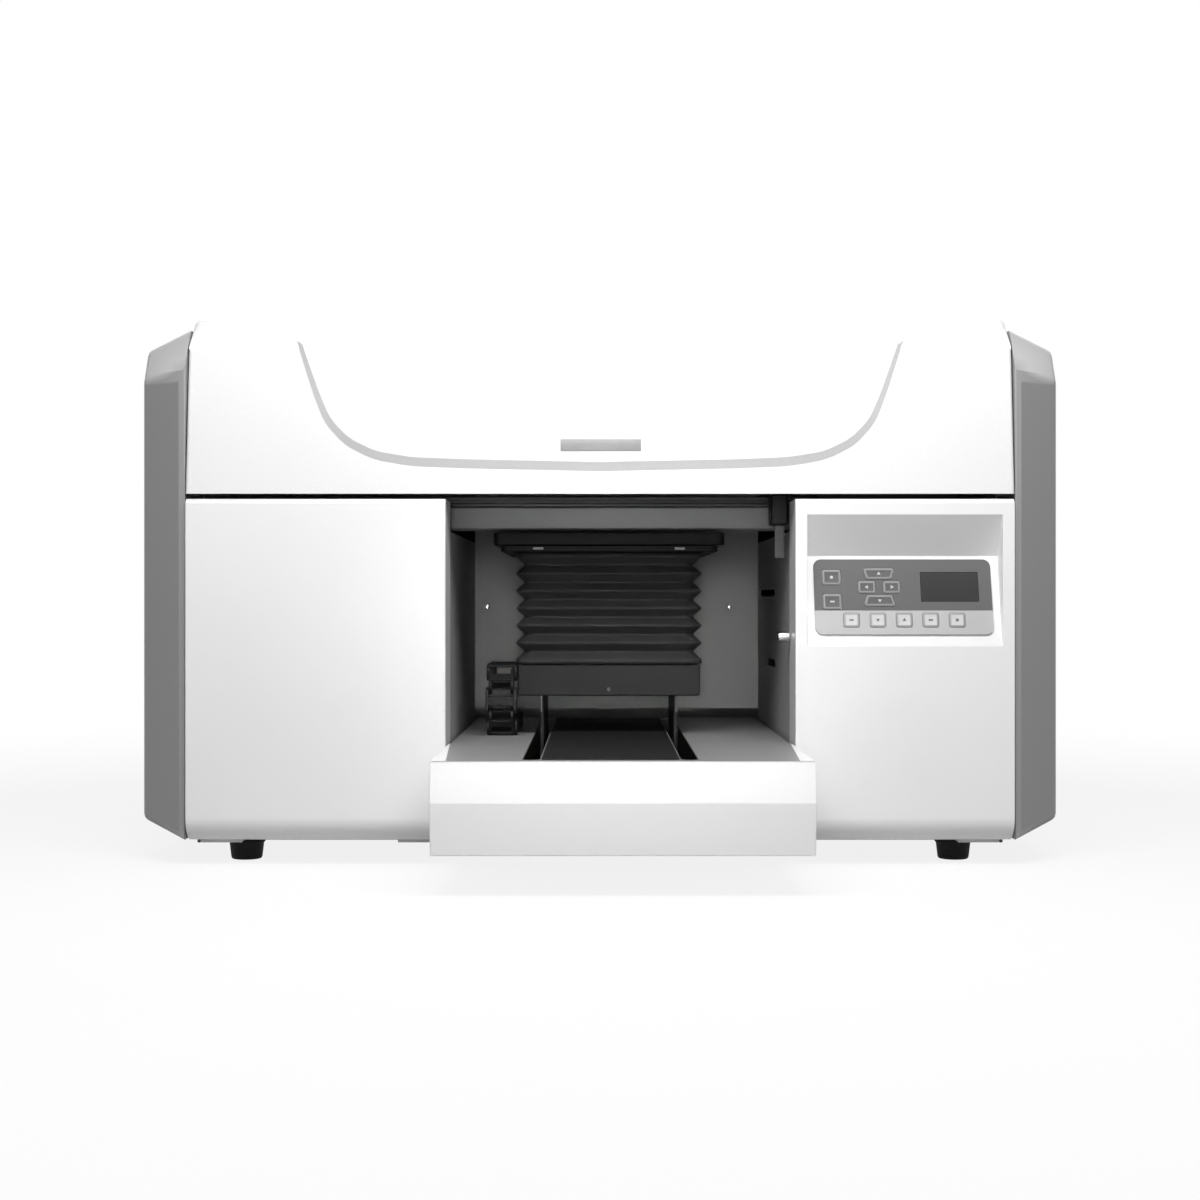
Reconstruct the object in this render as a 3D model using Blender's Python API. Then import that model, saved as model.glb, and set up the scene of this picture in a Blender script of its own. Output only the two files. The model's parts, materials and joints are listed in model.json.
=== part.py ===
"""A desktop flatbed UV printer, in metres, standing on z = 0 with its front towards -Y.

A sheet chassis carries white front panels, grey side covers and a hinged hood. In the open bay a
platen on a bellows lift slides along Y over the front extension, below a print carriage that runs
along X behind the gantry beam. Depths are measured from the plane of the front panels.
"""

import math

import bmesh
import bpy
from mathutils import Matrix, Vector

# Gap between pieces that seat on or run in each other, wall of folded sheet, overshoot of a cut
CLEARANCE = 0.0003
SHEET = 0.002
OVERSHOOT = 0.010

# Body envelope
BODY_DEPTH = 0.640
BODY_HALF_WIDTH = 0.415
EXTENSION_REACH = 0.205
FRONT_Y = (EXTENSION_REACH - BODY_DEPTH) / 2
REAR_Y = FRONT_Y + BODY_DEPTH

# Feet, base pan and chassis side plates
FOOT_TOP_RADIUS = 0.019
FOOT_TIP_RADIUS = 0.0155
FOOT_EDGE = 0.002
FOOT_HEIGHT = 0.0212
FOOT_INSET = 0.049
FOOT_SETBACK = 0.070
PAN_THICKNESS = 0.003
PAN_INSET = 0.006
PAN_SETBACK = 0.048
PAN_CORNER = 0.012
PAN_Z = FOOT_HEIGHT + CLEARANCE
DECK_Z = PAN_Z + PAN_THICKNESS + CLEARANCE
SIDE_PLATE_TOP_Z = 0.500
SIDE_PLATE_REAR_GAP = 0.045
SIDE_PLATE_CORNER = 0.050

# Front panels
PANEL_HEIGHT = 0.344
PANEL_DEPTH = 0.060
PANEL_ROLL = 0.025
PANEL_TOP_EDGE = 0.004
PANEL_TOP_Z = DECK_Z + PANEL_HEIGHT
RIGHT_PANEL_WIDTH = 0.2195
BAY_WIDTH = 0.350
BAY_RIGHT_X = BODY_HALF_WIDTH - RIGHT_PANEL_WIDTH
BAY_LEFT_X = BAY_RIGHT_X - BAY_WIDTH
BAY_CENTRE_X = (BAY_LEFT_X + BAY_RIGHT_X) / 2

# Keypad recess, membrane and keys; heights on the membrane are from its own middle
RECESS_SIDE_GAP = 0.012
RECESS_LEFT_X = BAY_RIGHT_X + RECESS_SIDE_GAP
RECESS_RIGHT_X = BODY_HALF_WIDTH - RECESS_SIDE_GAP
RECESS_BOTTOM_Z = 0.221
RECESS_BACK_Z = 0.312
RECESS_TOP_Z = 0.353
RECESS_DEPTH = 0.028
MEMBRANE_SIDE_GAP = 0.0083
MEMBRANE_WIDTH = RECESS_RIGHT_X - RECESS_LEFT_X - 2 * MEMBRANE_SIDE_GAP
MEMBRANE_HEIGHT = 0.079
MEMBRANE_CORNER = 0.0076
MEMBRANE_THICKNESS = 0.002
MEMBRANE_RISE = 0.0038
KEY_STAND = 0.001
KEY_THICKNESS = 0.002
KEY_CORNER = 0.002
KEY_FIT = 0.0004
ROW_KEY = (0.0160, 0.0147)
ROW_PITCH = 0.0265
ROW_V = -0.0247
ROW_KEYS = 5
SIDE_KEY = (0.0185, 0.0157)
SIDE_PITCH = 0.0257
SIDE_INSET = 0.0179
SIDE_V = 0.0075
PAD_INSET = 0.0657
PAD_V = 0.0100
PAD_RISE = 0.0142
PAD_SPREAD = 0.01255
PAD_WIDE_KEY = (0.0320, 0.0115)
PAD_SIDE_KEY = (0.0172, 0.0126)
PAD_TAPER = 0.0035
DISPLAY = (0.0579, 0.0306)
DISPLAY_INSET = 0.0424
DISPLAY_CENTRE = (MEMBRANE_WIDTH / 2 - DISPLAY_INSET, 0.0103)
DISPLAY_CORNER = 0.001

# Grey side covers
COVER_GAP = 0.002
COVER_WIDTH = 0.053
COVER_RIM = 0.0055
COVER_WALL = 0.003
COVER_SETBACK = 0.005
COVER_BOTTOM_Z = 0.027
COVER_BOTTOM_RISE = 0.015
COVER_TOP_Z = 0.542
COVER_TOP_DROP = 0.016
COVER_BROW_Z = 0.4925
COVER_BROW_LEAN = 0.42
COVER_EDGE = 0.007
BOSS_RADIUS = 0.006
BOSS_DEPTHS = (0.150, 0.500)
BOSS_HEIGHTS = (0.100, 0.320)

# Hood and its hinge
HOOD_GAP = 0.005
HOOD_HEIGHT = 0.182
HOOD_WALL = 0.003
SIDE_PLATE_INNER_X = BODY_HALF_WIDTH - HOOD_WALL - 2 * SHEET
HOOD_LEAN = 0.016
HOOD_SHOULDER_DROP = 0.027
HOOD_SHOULDER_DEPTH = 0.045
HOOD_EDGE = 0.008
HOOD_BOTTOM_Z = PANEL_TOP_Z + HOOD_GAP
HOOD_TOP_Z = HOOD_BOTTOM_Z + HOOD_HEIGHT
SHIELD_MARGIN = 0.1095
SHIELD_TOP_HALF = BODY_HALF_WIDTH - SHIELD_MARGIN
SHIELD_WAIST_INSET = 0.017
SHIELD_WAIST_RISE = 0.098
SHIELD_HEEL_INSET = 0.050
SHIELD_HEEL_RISE = 0.034
SHIELD_BOTTOM_RISE = 0.0225
SHIELD_ROUND = 0.055
SHIELD_BEVEL = 0.005
SHIELD_PROUD = 0.003
HINGE_Z = 0.505
HINGE_INSET = 0.012
HINGE_Y = REAR_Y - HINGE_INSET
HINGE_SIDE = 0.135
HINGE_X = BODY_HALF_WIDTH - HINGE_SIDE
HINGE_PIN_RADIUS = 0.003
KNUCKLE_RADIUS = 0.006
KNUCKLE_LENGTH = 0.020
KNUCKLE_GAP = 0.0005
EAR_LENGTH = 0.010
EAR_DROP = 0.040
EAR_FOOT = 0.012
HOOD_REAR_DROP = 0.020
HINGE_NOTCH_RISE = 0.004

# Rear panel, its vents and the mains inlet
REAR_SHEET = 0.003
REAR_PANEL_TOP_Z = HINGE_Z - math.hypot(HINGE_INSET, HOOD_REAR_DROP) - 2 * CLEARANCE
VENT_LENGTH = 0.120
VENT_HEIGHT = 0.005
VENT_PITCH = 0.012
VENT_ROWS = 9
VENT_SIDE = 0.195
VENT_X = BODY_HALF_WIDTH - VENT_SIDE
VENT_Z = 0.330
INLET_SIDE = 0.115
INLET_X = INLET_SIDE - BODY_HALF_WIDTH
INLET_Z = 0.085
INLET_WIDTH = 0.048
INLET_HEIGHT = 0.060
INLET_DEPTH = 0.030
INLET_CORNER = 0.003
SOCKET = (0.024, 0.017)
SOCKET_DEPTH = 0.016
SOCKET_RISE = 0.014
ROCKER_WELL = (0.022, 0.016)
ROCKER_WELL_DEPTH = 0.012
ROCKER_DROP = 0.016
ROCKER_TILT = 8.0
ROCKER_RADIUS = 0.005

# Bay walls
WALL_TOP_Z = 0.338
BACK_WALL_DEPTH = 0.446
BACK_WALL_BOTTOM_Z = 0.134
BACK_WALL_TOP_Z = 0.400
WALL_SLOT_HEIGHT = 0.009
WALL_SLOT_UPPER = (0.228, 0.430, 0.275)
WALL_SLOT_LOWER = (0.222, 0.330, 0.196)
STUD_RADIUS = 0.0055
STUD_LENGTH = 0.013
STUD_DEPTH = 0.050
STUD_Z = 0.230

# Bed floor, its two slots and the extension in front of the body
FLOOR_Z = 0.123
BED_SIDE_GAP = 0.002
BED_LEFT_X = BAY_LEFT_X + BED_SIDE_GAP
BED_RIGHT_X = BAY_RIGHT_X - BED_SIDE_GAP
EXTENSION_BOTTOM_Z = 0.038
EXTENSION_FOLD_Z = 0.086
EXTENSION_LEAN = 0.006
EXTENSION_TUCK = 0.015
LIFT_OFFSET = 0.011
LIFT_X = BAY_CENTRE_X - LIFT_OFFSET
SLOT_OFFSET = 0.072
SLOT_WIDTH = 0.016
SLOT_FRONT_DEPTH = -0.185
FRAME_REAR_DEPTH = 0.443
SLOT_REAR_MARGIN = 0.043
SLOT_REAR_DEPTH = FRAME_REAR_DEPTH - SLOT_REAR_MARGIN
SLOT_COVER_WIDTH = 0.125
SLOT_COVER_THICKNESS = 0.0015

# Bed frame and Y drive under the floor
FRAME_BOTTOM_Z = 0.042
FRAME_WALL = 0.003
BEARER_WIDTH = 0.030
BEARER_DEPTHS = (0.060, 0.350)
RAIL_WIDTH = 0.012
RAIL_HEIGHT = 0.012
RAIL_WAIST = 0.002
Y_SCREW_RADIUS = 0.006
Y_SCREW_Z = 0.0668
Y_BEARING_LENGTH = 0.010
MOTOR_SIDE = 0.042
MOTOR_LENGTH = 0.038
MOTOR_CORNER = 0.005
MOTOR_SHAFT_RADIUS = 0.0025

# Lift: carriage below the floor, base, bellows, screw and guide posts
LIFT_DEPTH = 0.230
LEG_THICKNESS = 0.004
LEG_LENGTH = 0.160
SADDLE_Z = 0.080
SADDLE_THICKNESS = 0.005
RUNNER_WIDTH = 0.026
NUT_WIDTH = 0.024
NUT_BOTTOM_Z = 0.0560
BASE_WIDTH = 0.195
BASE_LENGTH = 0.200
BASE_BOTTOM_Z = 0.165
BASE_HEIGHT = 0.034
BASE_WALL = 0.003
BASE_EDGE = 0.002
BELLOWS_WIDTH = 0.199
BELLOWS_LENGTH = 0.204
BELLOWS_PLEATS = 6
PLEAT_REACH = 0.0065
BELLOWS_WALL = 0.002
BELLOWS_CORNER = 0.012
BELLOWS_COLLAR = 0.0037
Z_SCREW_RADIUS = 0.005
Z_SCREW_TOP_Z = 0.255
Z_NUT_RADIUS = 0.010
Z_NUT_BOTTOM_Z = 0.246
POST_RADIUS = 0.007
POST_OFFSET = 0.060
POST_BOTTOM_Z = 0.232
SLEEVE_WALL = 0.004
SLEEVE_TOP_Z = 0.250

# Platen and its carrier
PLATEN_TOP_Z = 0.338
PLATEN_THICKNESS = 0.0135
PLATEN_WIDTH = 0.241
PLATEN_LENGTH = 0.300
PLATEN_CORNER = 0.006
PLATEN_EDGE = 0.001
CARRIER_THICKNESS = 0.006
CARRIER_INSET = 0.007

# Cable drag chain beside the lift
CHAIN_WIDTH = 0.0325
CHAIN_HEIGHT = 0.0755
CHAIN_BAND = 0.017
CHAIN_FRONT_DEPTH = 0.102
CHAIN_LOWER_REAR_DEPTH = 0.300
CHAIN_UPPER_REAR_DEPTH = 0.235
CHAIN_PITCH = 0.018
CHAIN_WINDOW = 0.011
CHAIN_WINDOW_DEPTH = 0.006
CHAIN_SIDE = 0.004

# Gantry beam, X rail and belt
BEAM_DEPTH = 0.096
BEAM_THICKNESS = 0.040
BEAM_BOTTOM_Z = 0.341
BEAM_HEIGHT = 0.025
BEAM_EDGE = 0.002
BEAM_GROOVE = 0.003
X_RAIL_HEIGHT = 0.010
PULLEY_RADIUS = 0.008
PULLEY_WIDTH = 0.006
PULLEY_FLANGE = 0.0025
BELT_THICKNESS = 0.0012
BELT_WIDTH = 0.004
PULLEY_GAP = 0.002
SENSOR_WIDTH = 0.0175
SENSOR_HEIGHT = 0.032
SENSOR_DEPTH = 0.033
SENSOR_DROP = 0.034
BLADE_WIDTH = 0.010
BLADE_THICKNESS = 0.004

# Print carriage, head, service station and ink tank
CARRIAGE_WIDTH = 0.150
CARRIAGE_X = (BAY_RIGHT_X + SHEET + SIDE_PLATE_INNER_X) / 2
CARRIAGE_TOP_Z = 0.470
CARRIAGE_BOTTOM_Z = 0.350
CARRIAGE_REAR_DEPTH = 0.250
CARRIAGE_BEVEL = 0.015
CARRIAGE_EDGE = 0.002
RUNNER_LIFT = 0.003
HEAD_WIDTH = 0.090
HEAD_LENGTH = 0.070
HEAD_BOTTOM_Z = 0.342
HEAD_DEPTH = 0.200
NOZZLE_INSET = 0.010
NOZZLE_HEIGHT = 0.003
STATION_WIDTH = 0.130
STATION_LENGTH = 0.080
STATION_GAP = 0.0025
STATION_FOOT = 0.012
CAP_RIM = 0.003
CAP_DEPTH = 0.008
TANK_SIDE_GAP = 0.0307
TANK_LEFT_X = TANK_SIDE_GAP - SIDE_PLATE_INNER_X
TANK_RIGHT_X = BAY_LEFT_X - SHEET - TANK_SIDE_GAP
TANK_LENGTH = 0.170
TANK_HEIGHT = 0.260
TANK_DEPTH = 0.350
TANK_EDGE = 0.010
TANK_NECKS = 4
NECK_RADIUS = 0.012
NECK_HEIGHT = 0.022

# Colour, roughness and metallic value of each finish
FINISHES = {
    "white_cover": ((0.90, 0.90, 0.90), 0.35, 0.0),
    "grey_cover": ((0.22, 0.23, 0.23), 0.50, 0.0),
    "chassis_sheet": ((0.28, 0.28, 0.29), 0.55, 0.4),
    "bay_wall": ((0.085, 0.088, 0.088), 0.60, 0.1),
    "bed_floor": ((0.34, 0.35, 0.35), 0.45, 0.5),
    "black_sheet": ((0.020, 0.021, 0.021), 0.45, 0.1),
    "dark_casting": ((0.032, 0.033, 0.033), 0.50, 0.2),
    "beam_grey": ((0.12, 0.125, 0.125), 0.45, 0.5),
    "steel": ((0.55, 0.55, 0.56), 0.25, 1.0),
    "rubber": ((0.015, 0.015, 0.015), 0.80, 0.0),
    "bellows_cloth": ((0.014, 0.014, 0.014), 0.75, 0.0),
    "black_plastic": ((0.013, 0.013, 0.013), 0.55, 0.0),
    "motor_black": ((0.020, 0.020, 0.022), 0.40, 0.3),
    "tank_plastic": ((0.60, 0.61, 0.62), 0.45, 0.0),
    "membrane_grey": ((0.23, 0.24, 0.24), 0.40, 0.0),
    "key_grey": ((0.30, 0.31, 0.31), 0.40, 0.0),
    "display_dark": ((0.05, 0.055, 0.055), 0.15, 0.0),
}


def depth(value):
    """The y of a depth behind the plane of the front panels."""
    return FRONT_Y + value


def clear_scene():
    for obj in list(bpy.data.objects):
        bpy.data.objects.remove(obj, do_unlink=True)


def finish_material(name):
    material = bpy.data.materials.get(name)
    if material is None:
        colour, roughness, metallic = FINISHES[name]
        material = bpy.data.materials.new(name)
        material.use_nodes = True
        shader = material.node_tree.nodes["Principled BSDF"]
        shader.inputs["Base Color"].default_value = (*colour, 1.0)
        shader.inputs["Roughness"].default_value = roughness
        shader.inputs["Metallic"].default_value = metallic
    return material


def place(name, bm, finish, origin=(0.0, 0.0, 0.0)):
    """Makes the object of one sub-part from a bmesh in world space, with its origin at a point."""
    bmesh.ops.translate(bm, verts=bm.verts, vec=-Vector(origin))
    mesh = bpy.data.meshes.new(name)
    bm.to_mesh(mesh)
    bm.free()
    mesh.shade_smooth()
    mesh.set_sharp_from_angle(angle=math.radians(32))
    mesh.materials.append(finish_material(finish))
    obj = bpy.data.objects.new(name, mesh)
    obj.location = origin
    bpy.context.scene.collection.objects.link(obj)
    return obj


def combine(obj, bm, operation):
    """Cuts a helper shape from an object, or fuses it on."""
    mesh = bpy.data.meshes.new(obj.name + "_helper")
    bm.to_mesh(mesh)
    bm.free()
    helper = bpy.data.objects.new(mesh.name, mesh)
    helper.hide_render = True
    helper.display_type = "WIRE"
    bpy.context.scene.collection.objects.link(helper)
    modifier = obj.modifiers.new(operation.lower(), "BOOLEAN")
    modifier.operation = operation
    modifier.solver = "EXACT"
    modifier.object = helper


def cut(obj, bm):
    combine(obj, bm, "DIFFERENCE")


def fuse(obj, bm):
    combine(obj, bm, "UNION")


def merged(pieces):
    """One bmesh that holds several separate shapes, for use as a helper."""
    whole = bmesh.new()
    for piece in pieces:
        mesh = bpy.data.meshes.new("piece")
        piece.to_mesh(mesh)
        piece.free()
        whole.from_mesh(mesh)
        bpy.data.meshes.remove(mesh)
    return whole


def arc(centre, radius, start, end, steps):
    """Points of an arc between two angles in degrees."""
    points = []
    for i in range(steps + 1):
        angle = math.radians(start + (end - start) * i / steps)
        points.append((centre[0] + radius * math.cos(angle), centre[1] + radius * math.sin(angle)))
    return points


def rectangle(a0, a1, b0, b1):
    return [(a0, b0), (a1, b0), (a1, b1), (a0, b1)]


def rounded(points, radius, steps=3):
    """An outline with each of its corners filleted."""
    outline = []
    for i, corner in enumerate(points):
        corner = Vector(corner)
        back = (Vector(points[i - 1]) - corner).normalized()
        ahead = (Vector(points[(i + 1) % len(points)]) - corner).normalized()
        half = back.angle(ahead) / 2
        centre = corner + (back + ahead).normalized() * radius / math.sin(half)
        first = corner + back * radius / math.tan(half) - centre
        last = corner + ahead * radius / math.tan(half) - centre
        start = math.atan2(first.y, first.x)
        turn = (math.atan2(last.y, last.x) - start + math.pi) % math.tau - math.pi
        outline += arc(centre, radius, math.degrees(start), math.degrees(start + turn), steps)
    return outline


def offset(points, distance):
    """A counter-clockwise outline moved outwards, or inwards by a negative distance."""
    moved = []
    for i, point in enumerate(points):
        before = Vector(point) - Vector(points[i - 1])
        after = Vector(points[(i + 1) % len(points)]) - Vector(point)
        normal_a = Vector((before.y, -before.x)).normalized()
        normal_b = Vector((after.y, -after.x)).normalized()
        moved.append(tuple(Vector(point) + (normal_a + normal_b) * distance / (1 + normal_a.dot(normal_b))))
    return moved


def in_space(axis, a, b, along):
    """A point of an outline in the plane across an axis: X takes (y, z), Y (x, z) and Z (x, y)."""
    return {"X": (along, a, b), "Y": (a, along, b), "Z": (a, b, along)}[axis]


def prism(axis, outline, start, end):
    bm = bmesh.new()
    face = bm.faces.new([bm.verts.new(in_space(axis, a, b, start)) for a, b in outline])
    made = bmesh.ops.extrude_face_region(bm, geom=[face])["geom"]
    moved = [item for item in made if isinstance(item, bmesh.types.BMVert)]
    bmesh.ops.translate(bm, verts=moved, vec=in_space(axis, 0, 0, end - start))
    bmesh.ops.recalc_face_normals(bm, faces=bm.faces)
    return bm


def block(x0, x1, y0, y1, z0, z1):
    return prism("Z", rectangle(x0, x1, y0, y1), z0, z1)


def turned(axis, profile, centre, steps=24):
    """A solid of revolution. The profile holds (radius, distance along the axis from the centre)."""
    bm = bmesh.new()
    verts = [bm.verts.new(Vector(centre) + Vector(in_space(axis, *across(axis, r), h))) for r, h in profile]
    edges = [bm.edges.new(pair) for pair in zip(verts, verts[1:])]
    direction = in_space(axis, 0, 0, 1)
    bmesh.ops.spin(bm, geom=verts + edges, cent=centre, axis=direction, angle=math.tau, steps=steps,
                   use_merge=True)
    bmesh.ops.remove_doubles(bm, verts=bm.verts, dist=1e-6)
    bmesh.ops.recalc_face_normals(bm, faces=bm.faces)
    return bm


def across(axis, radius):
    """Where a profile starts its turn: square to the axis."""
    return (radius, 0.0) if axis != "X" else (0.0, radius)


def rod(axis, radius, centre, start, end, edge=0.0, steps=24):
    """A round bar, with its ends chamfered where an edge is given."""
    profile = [(0, start), (radius - edge, start), (radius, start + edge),
               (radius, end - edge), (radius - edge, end), (0, end)]
    return turned(axis, profile, centre, steps)


def soften(bm, width, segments=2, keep=None):
    """Bevels the edges that a test picks, or all of them."""
    edges = [edge for edge in bm.edges if keep is None or keep(edge)]
    bmesh.ops.bevel(bm, geom=edges, offset=width, segments=segments, profile=0.5, affect="EDGES",
                    clamp_overlap=True)
    return bm


def base_pan():
    half = BODY_HALF_WIDTH - PAN_INSET
    outline = rounded(rectangle(-half, half, depth(PAN_SETBACK), REAR_Y), PAN_CORNER)
    place("base_pan", prism("Z", outline, PAN_Z, PAN_Z + PAN_THICKNESS), "chassis_sheet")


def feet():
    profile = [(0, 0), (FOOT_TIP_RADIUS - FOOT_EDGE, 0), (FOOT_TIP_RADIUS, FOOT_EDGE),
               (FOOT_TOP_RADIUS, FOOT_HEIGHT - FOOT_EDGE), (FOOT_TOP_RADIUS, FOOT_HEIGHT), (0, FOOT_HEIGHT)]
    for row, y in (("front", depth(FOOT_SETBACK)), ("rear", REAR_Y - FOOT_SETBACK)):
        for side, x in (("left", FOOT_INSET - BODY_HALF_WIDTH), ("right", BODY_HALF_WIDTH - FOOT_INSET)):
            place(f"foot_{row}_{side}", turned("Z", profile, (x, y, 0)), "rubber")


def side_plates():
    inner = SIDE_PLATE_INNER_X
    front = depth(PANEL_DEPTH) + CLEARANCE
    rear = REAR_Y - SIDE_PLATE_REAR_GAP
    outline = [(front, DECK_Z), (rear, DECK_Z), (rear, SIDE_PLATE_TOP_Z - SIDE_PLATE_CORNER),
               (rear - SIDE_PLATE_CORNER, SIDE_PLATE_TOP_Z), (front + SIDE_PLATE_CORNER, SIDE_PLATE_TOP_Z),
               (front, SIDE_PLATE_TOP_Z - SIDE_PLATE_CORNER)]
    place("left_side_plate", prism("X", outline, -inner - SHEET, -inner), "chassis_sheet")
    place("right_side_plate", prism("X", outline, inner, inner + SHEET), "chassis_sheet")


def panel_outline():
    """Section of a front panel: a chamfer at its top, and its lower edge rolled under."""
    roll = arc((depth(PANEL_ROLL), DECK_Z + PANEL_ROLL), PANEL_ROLL, 180, 270, 6)
    return [(depth(PANEL_DEPTH), PANEL_TOP_Z), (depth(PANEL_TOP_EDGE), PANEL_TOP_Z),
            (FRONT_Y, PANEL_TOP_Z - PANEL_TOP_EDGE)] + roll + [(depth(PANEL_DEPTH), DECK_Z)]


def tray_panel(name, x0, x1):
    """A panel with a face and four returns, open at its back."""
    panel = place(name, prism("X", panel_outline(), x0, x1), "white_cover")
    back = depth(PANEL_DEPTH)
    lined = offset(panel_outline(), -SHEET)
    hollow = [(back + OVERSHOOT if y > back - 2 * SHEET else y, z) for y, z in lined]
    cut(panel, prism("X", hollow, x0 + SHEET, x1 - SHEET))
    return panel


def recess_outline():
    """Section of the keypad recess: a sloped ceiling over a back that leans away."""
    return [(FRONT_Y, RECESS_BOTTOM_Z), (depth(RECESS_DEPTH), RECESS_BACK_Z), (FRONT_Y, RECESS_TOP_Z)]


def front_panels():
    tray_panel("left_front_panel", -BODY_HALF_WIDTH, BAY_LEFT_X)
    panel = tray_panel("right_front_panel", BAY_RIGHT_X, BODY_HALF_WIDTH)
    left = RECESS_LEFT_X
    right = RECESS_RIGHT_X
    lined = [(max(y, depth(SHEET / 2)), z) for y, z in offset(recess_outline(), SHEET)]
    fuse(panel, prism("X", lined, left - SHEET, right + SHEET))
    bottom, back, top = recess_outline()
    mouth = [(FRONT_Y - OVERSHOOT, RECESS_BOTTOM_Z), bottom, back, top, (FRONT_Y - OVERSHOOT, RECESS_TOP_Z)]
    cut(panel, prism("X", mouth, left, right))


def keypad_matrix():
    """Places the keypad on the recess back: u to the right, v up the slope and w out of it."""
    bottom, back, _ = recess_outline()
    lean = math.atan2(back[0] - bottom[0], back[1] - bottom[1])
    across_middle = (RECESS_LEFT_X + RECESS_RIGHT_X) / 2
    middle = Vector((across_middle, (bottom[0] + back[0]) / 2, (bottom[1] + back[1]) / 2))
    turn = Matrix.Rotation(math.pi / 2 - lean, 4, "X")
    return Matrix.Translation(middle) @ turn @ Matrix.Translation((0, MEMBRANE_RISE, 0))


def key_outline(width, height, taper=0.0):
    """A key in its own plane; a taper narrows its lower side, or its upper side when negative."""
    low = width / 2 - max(taper, 0)
    high = width / 2 + min(taper, 0)
    corners = [(-low, -height / 2), (low, -height / 2), (high, height / 2), (-high, height / 2)]
    return rounded(corners, KEY_CORNER)


def key_plan():
    """Name, centre and outline of each key on the membrane."""
    u, v = PAD_INSET - MEMBRANE_WIDTH / 2, PAD_V
    plan = [("key_up", (u, v + PAD_RISE), key_outline(*PAD_WIDE_KEY, PAD_TAPER)),
            ("key_down", (u, v - PAD_RISE), key_outline(*PAD_WIDE_KEY, -PAD_TAPER)),
            ("key_left", (u - PAD_SPREAD, v), key_outline(*PAD_SIDE_KEY)),
            ("key_right", (u + PAD_SPREAD, v), key_outline(*PAD_SIDE_KEY))]
    u, v = SIDE_INSET - MEMBRANE_WIDTH / 2, SIDE_V
    plan.append(("key_side_upper", (u, v + SIDE_PITCH / 2), key_outline(*SIDE_KEY)))
    plan.append(("key_side_lower", (u, v - SIDE_PITCH / 2), key_outline(*SIDE_KEY)))
    for i in range(ROW_KEYS):
        u = (i - (ROW_KEYS - 1) / 2) * ROW_PITCH
        plan.append((f"key_row_{i + 1}", (u, ROW_V), key_outline(*ROW_KEY)))
    return plan


def at(outline, centre):
    return [(a + centre[0], b + centre[1]) for a, b in outline]


def keypad():
    matrix = keypad_matrix()
    half_width = MEMBRANE_WIDTH / 2
    half_height = MEMBRANE_HEIGHT / 2
    outline = rounded(rectangle(-half_width, half_width, -half_height, half_height), MEMBRANE_CORNER, 5)
    top = CLEARANCE + MEMBRANE_THICKNESS
    sheet = prism("Z", outline, CLEARANCE, top)
    bmesh.ops.transform(sheet, matrix=matrix, verts=sheet.verts)
    membrane = place("keypad_membrane", sheet, "membrane_grey")
    wide, high = DISPLAY
    screen = rounded(rectangle(-wide / 2, wide / 2, -high / 2, high / 2), DISPLAY_CORNER)
    holes = [(DISPLAY_CENTRE, screen)]
    for name, centre, key in key_plan():
        holes.append((centre, key))
        body = soften(prism("Z", at(key, centre), KEY_STAND, KEY_STAND + KEY_THICKNESS), KEY_FIT, 1,
                      lambda edge: min(v.co.z for v in edge.verts) > KEY_STAND + KEY_THICKNESS / 2)
        bmesh.ops.transform(body, matrix=matrix, verts=body.verts)
        place(name, body, "key_grey", matrix @ Vector((*centre, KEY_STAND)))
    windows = merged([prism("Z", at(offset(hole, KEY_FIT), centre), CLEARANCE - OVERSHOOT, top + OVERSHOOT)
                      for centre, hole in holes])
    bmesh.ops.transform(windows, matrix=matrix, verts=windows.verts)
    cut(membrane, windows)
    glass = prism("Z", at(screen, DISPLAY_CENTRE), CLEARANCE, top - CLEARANCE)
    bmesh.ops.transform(glass, matrix=matrix, verts=glass.verts)
    place("display_window", glass, "display_dark")


def slice_off(bm, point, normal):
    """Removes what lies beyond a plane and closes the cut."""
    geom = list(bm.verts) + list(bm.edges) + list(bm.faces)
    bmesh.ops.bisect_plane(bm, geom=geom, plane_co=point, plane_no=normal, clear_outer=True)
    bmesh.ops.holes_fill(bm, edges=[edge for edge in bm.edges if edge.is_boundary])


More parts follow.
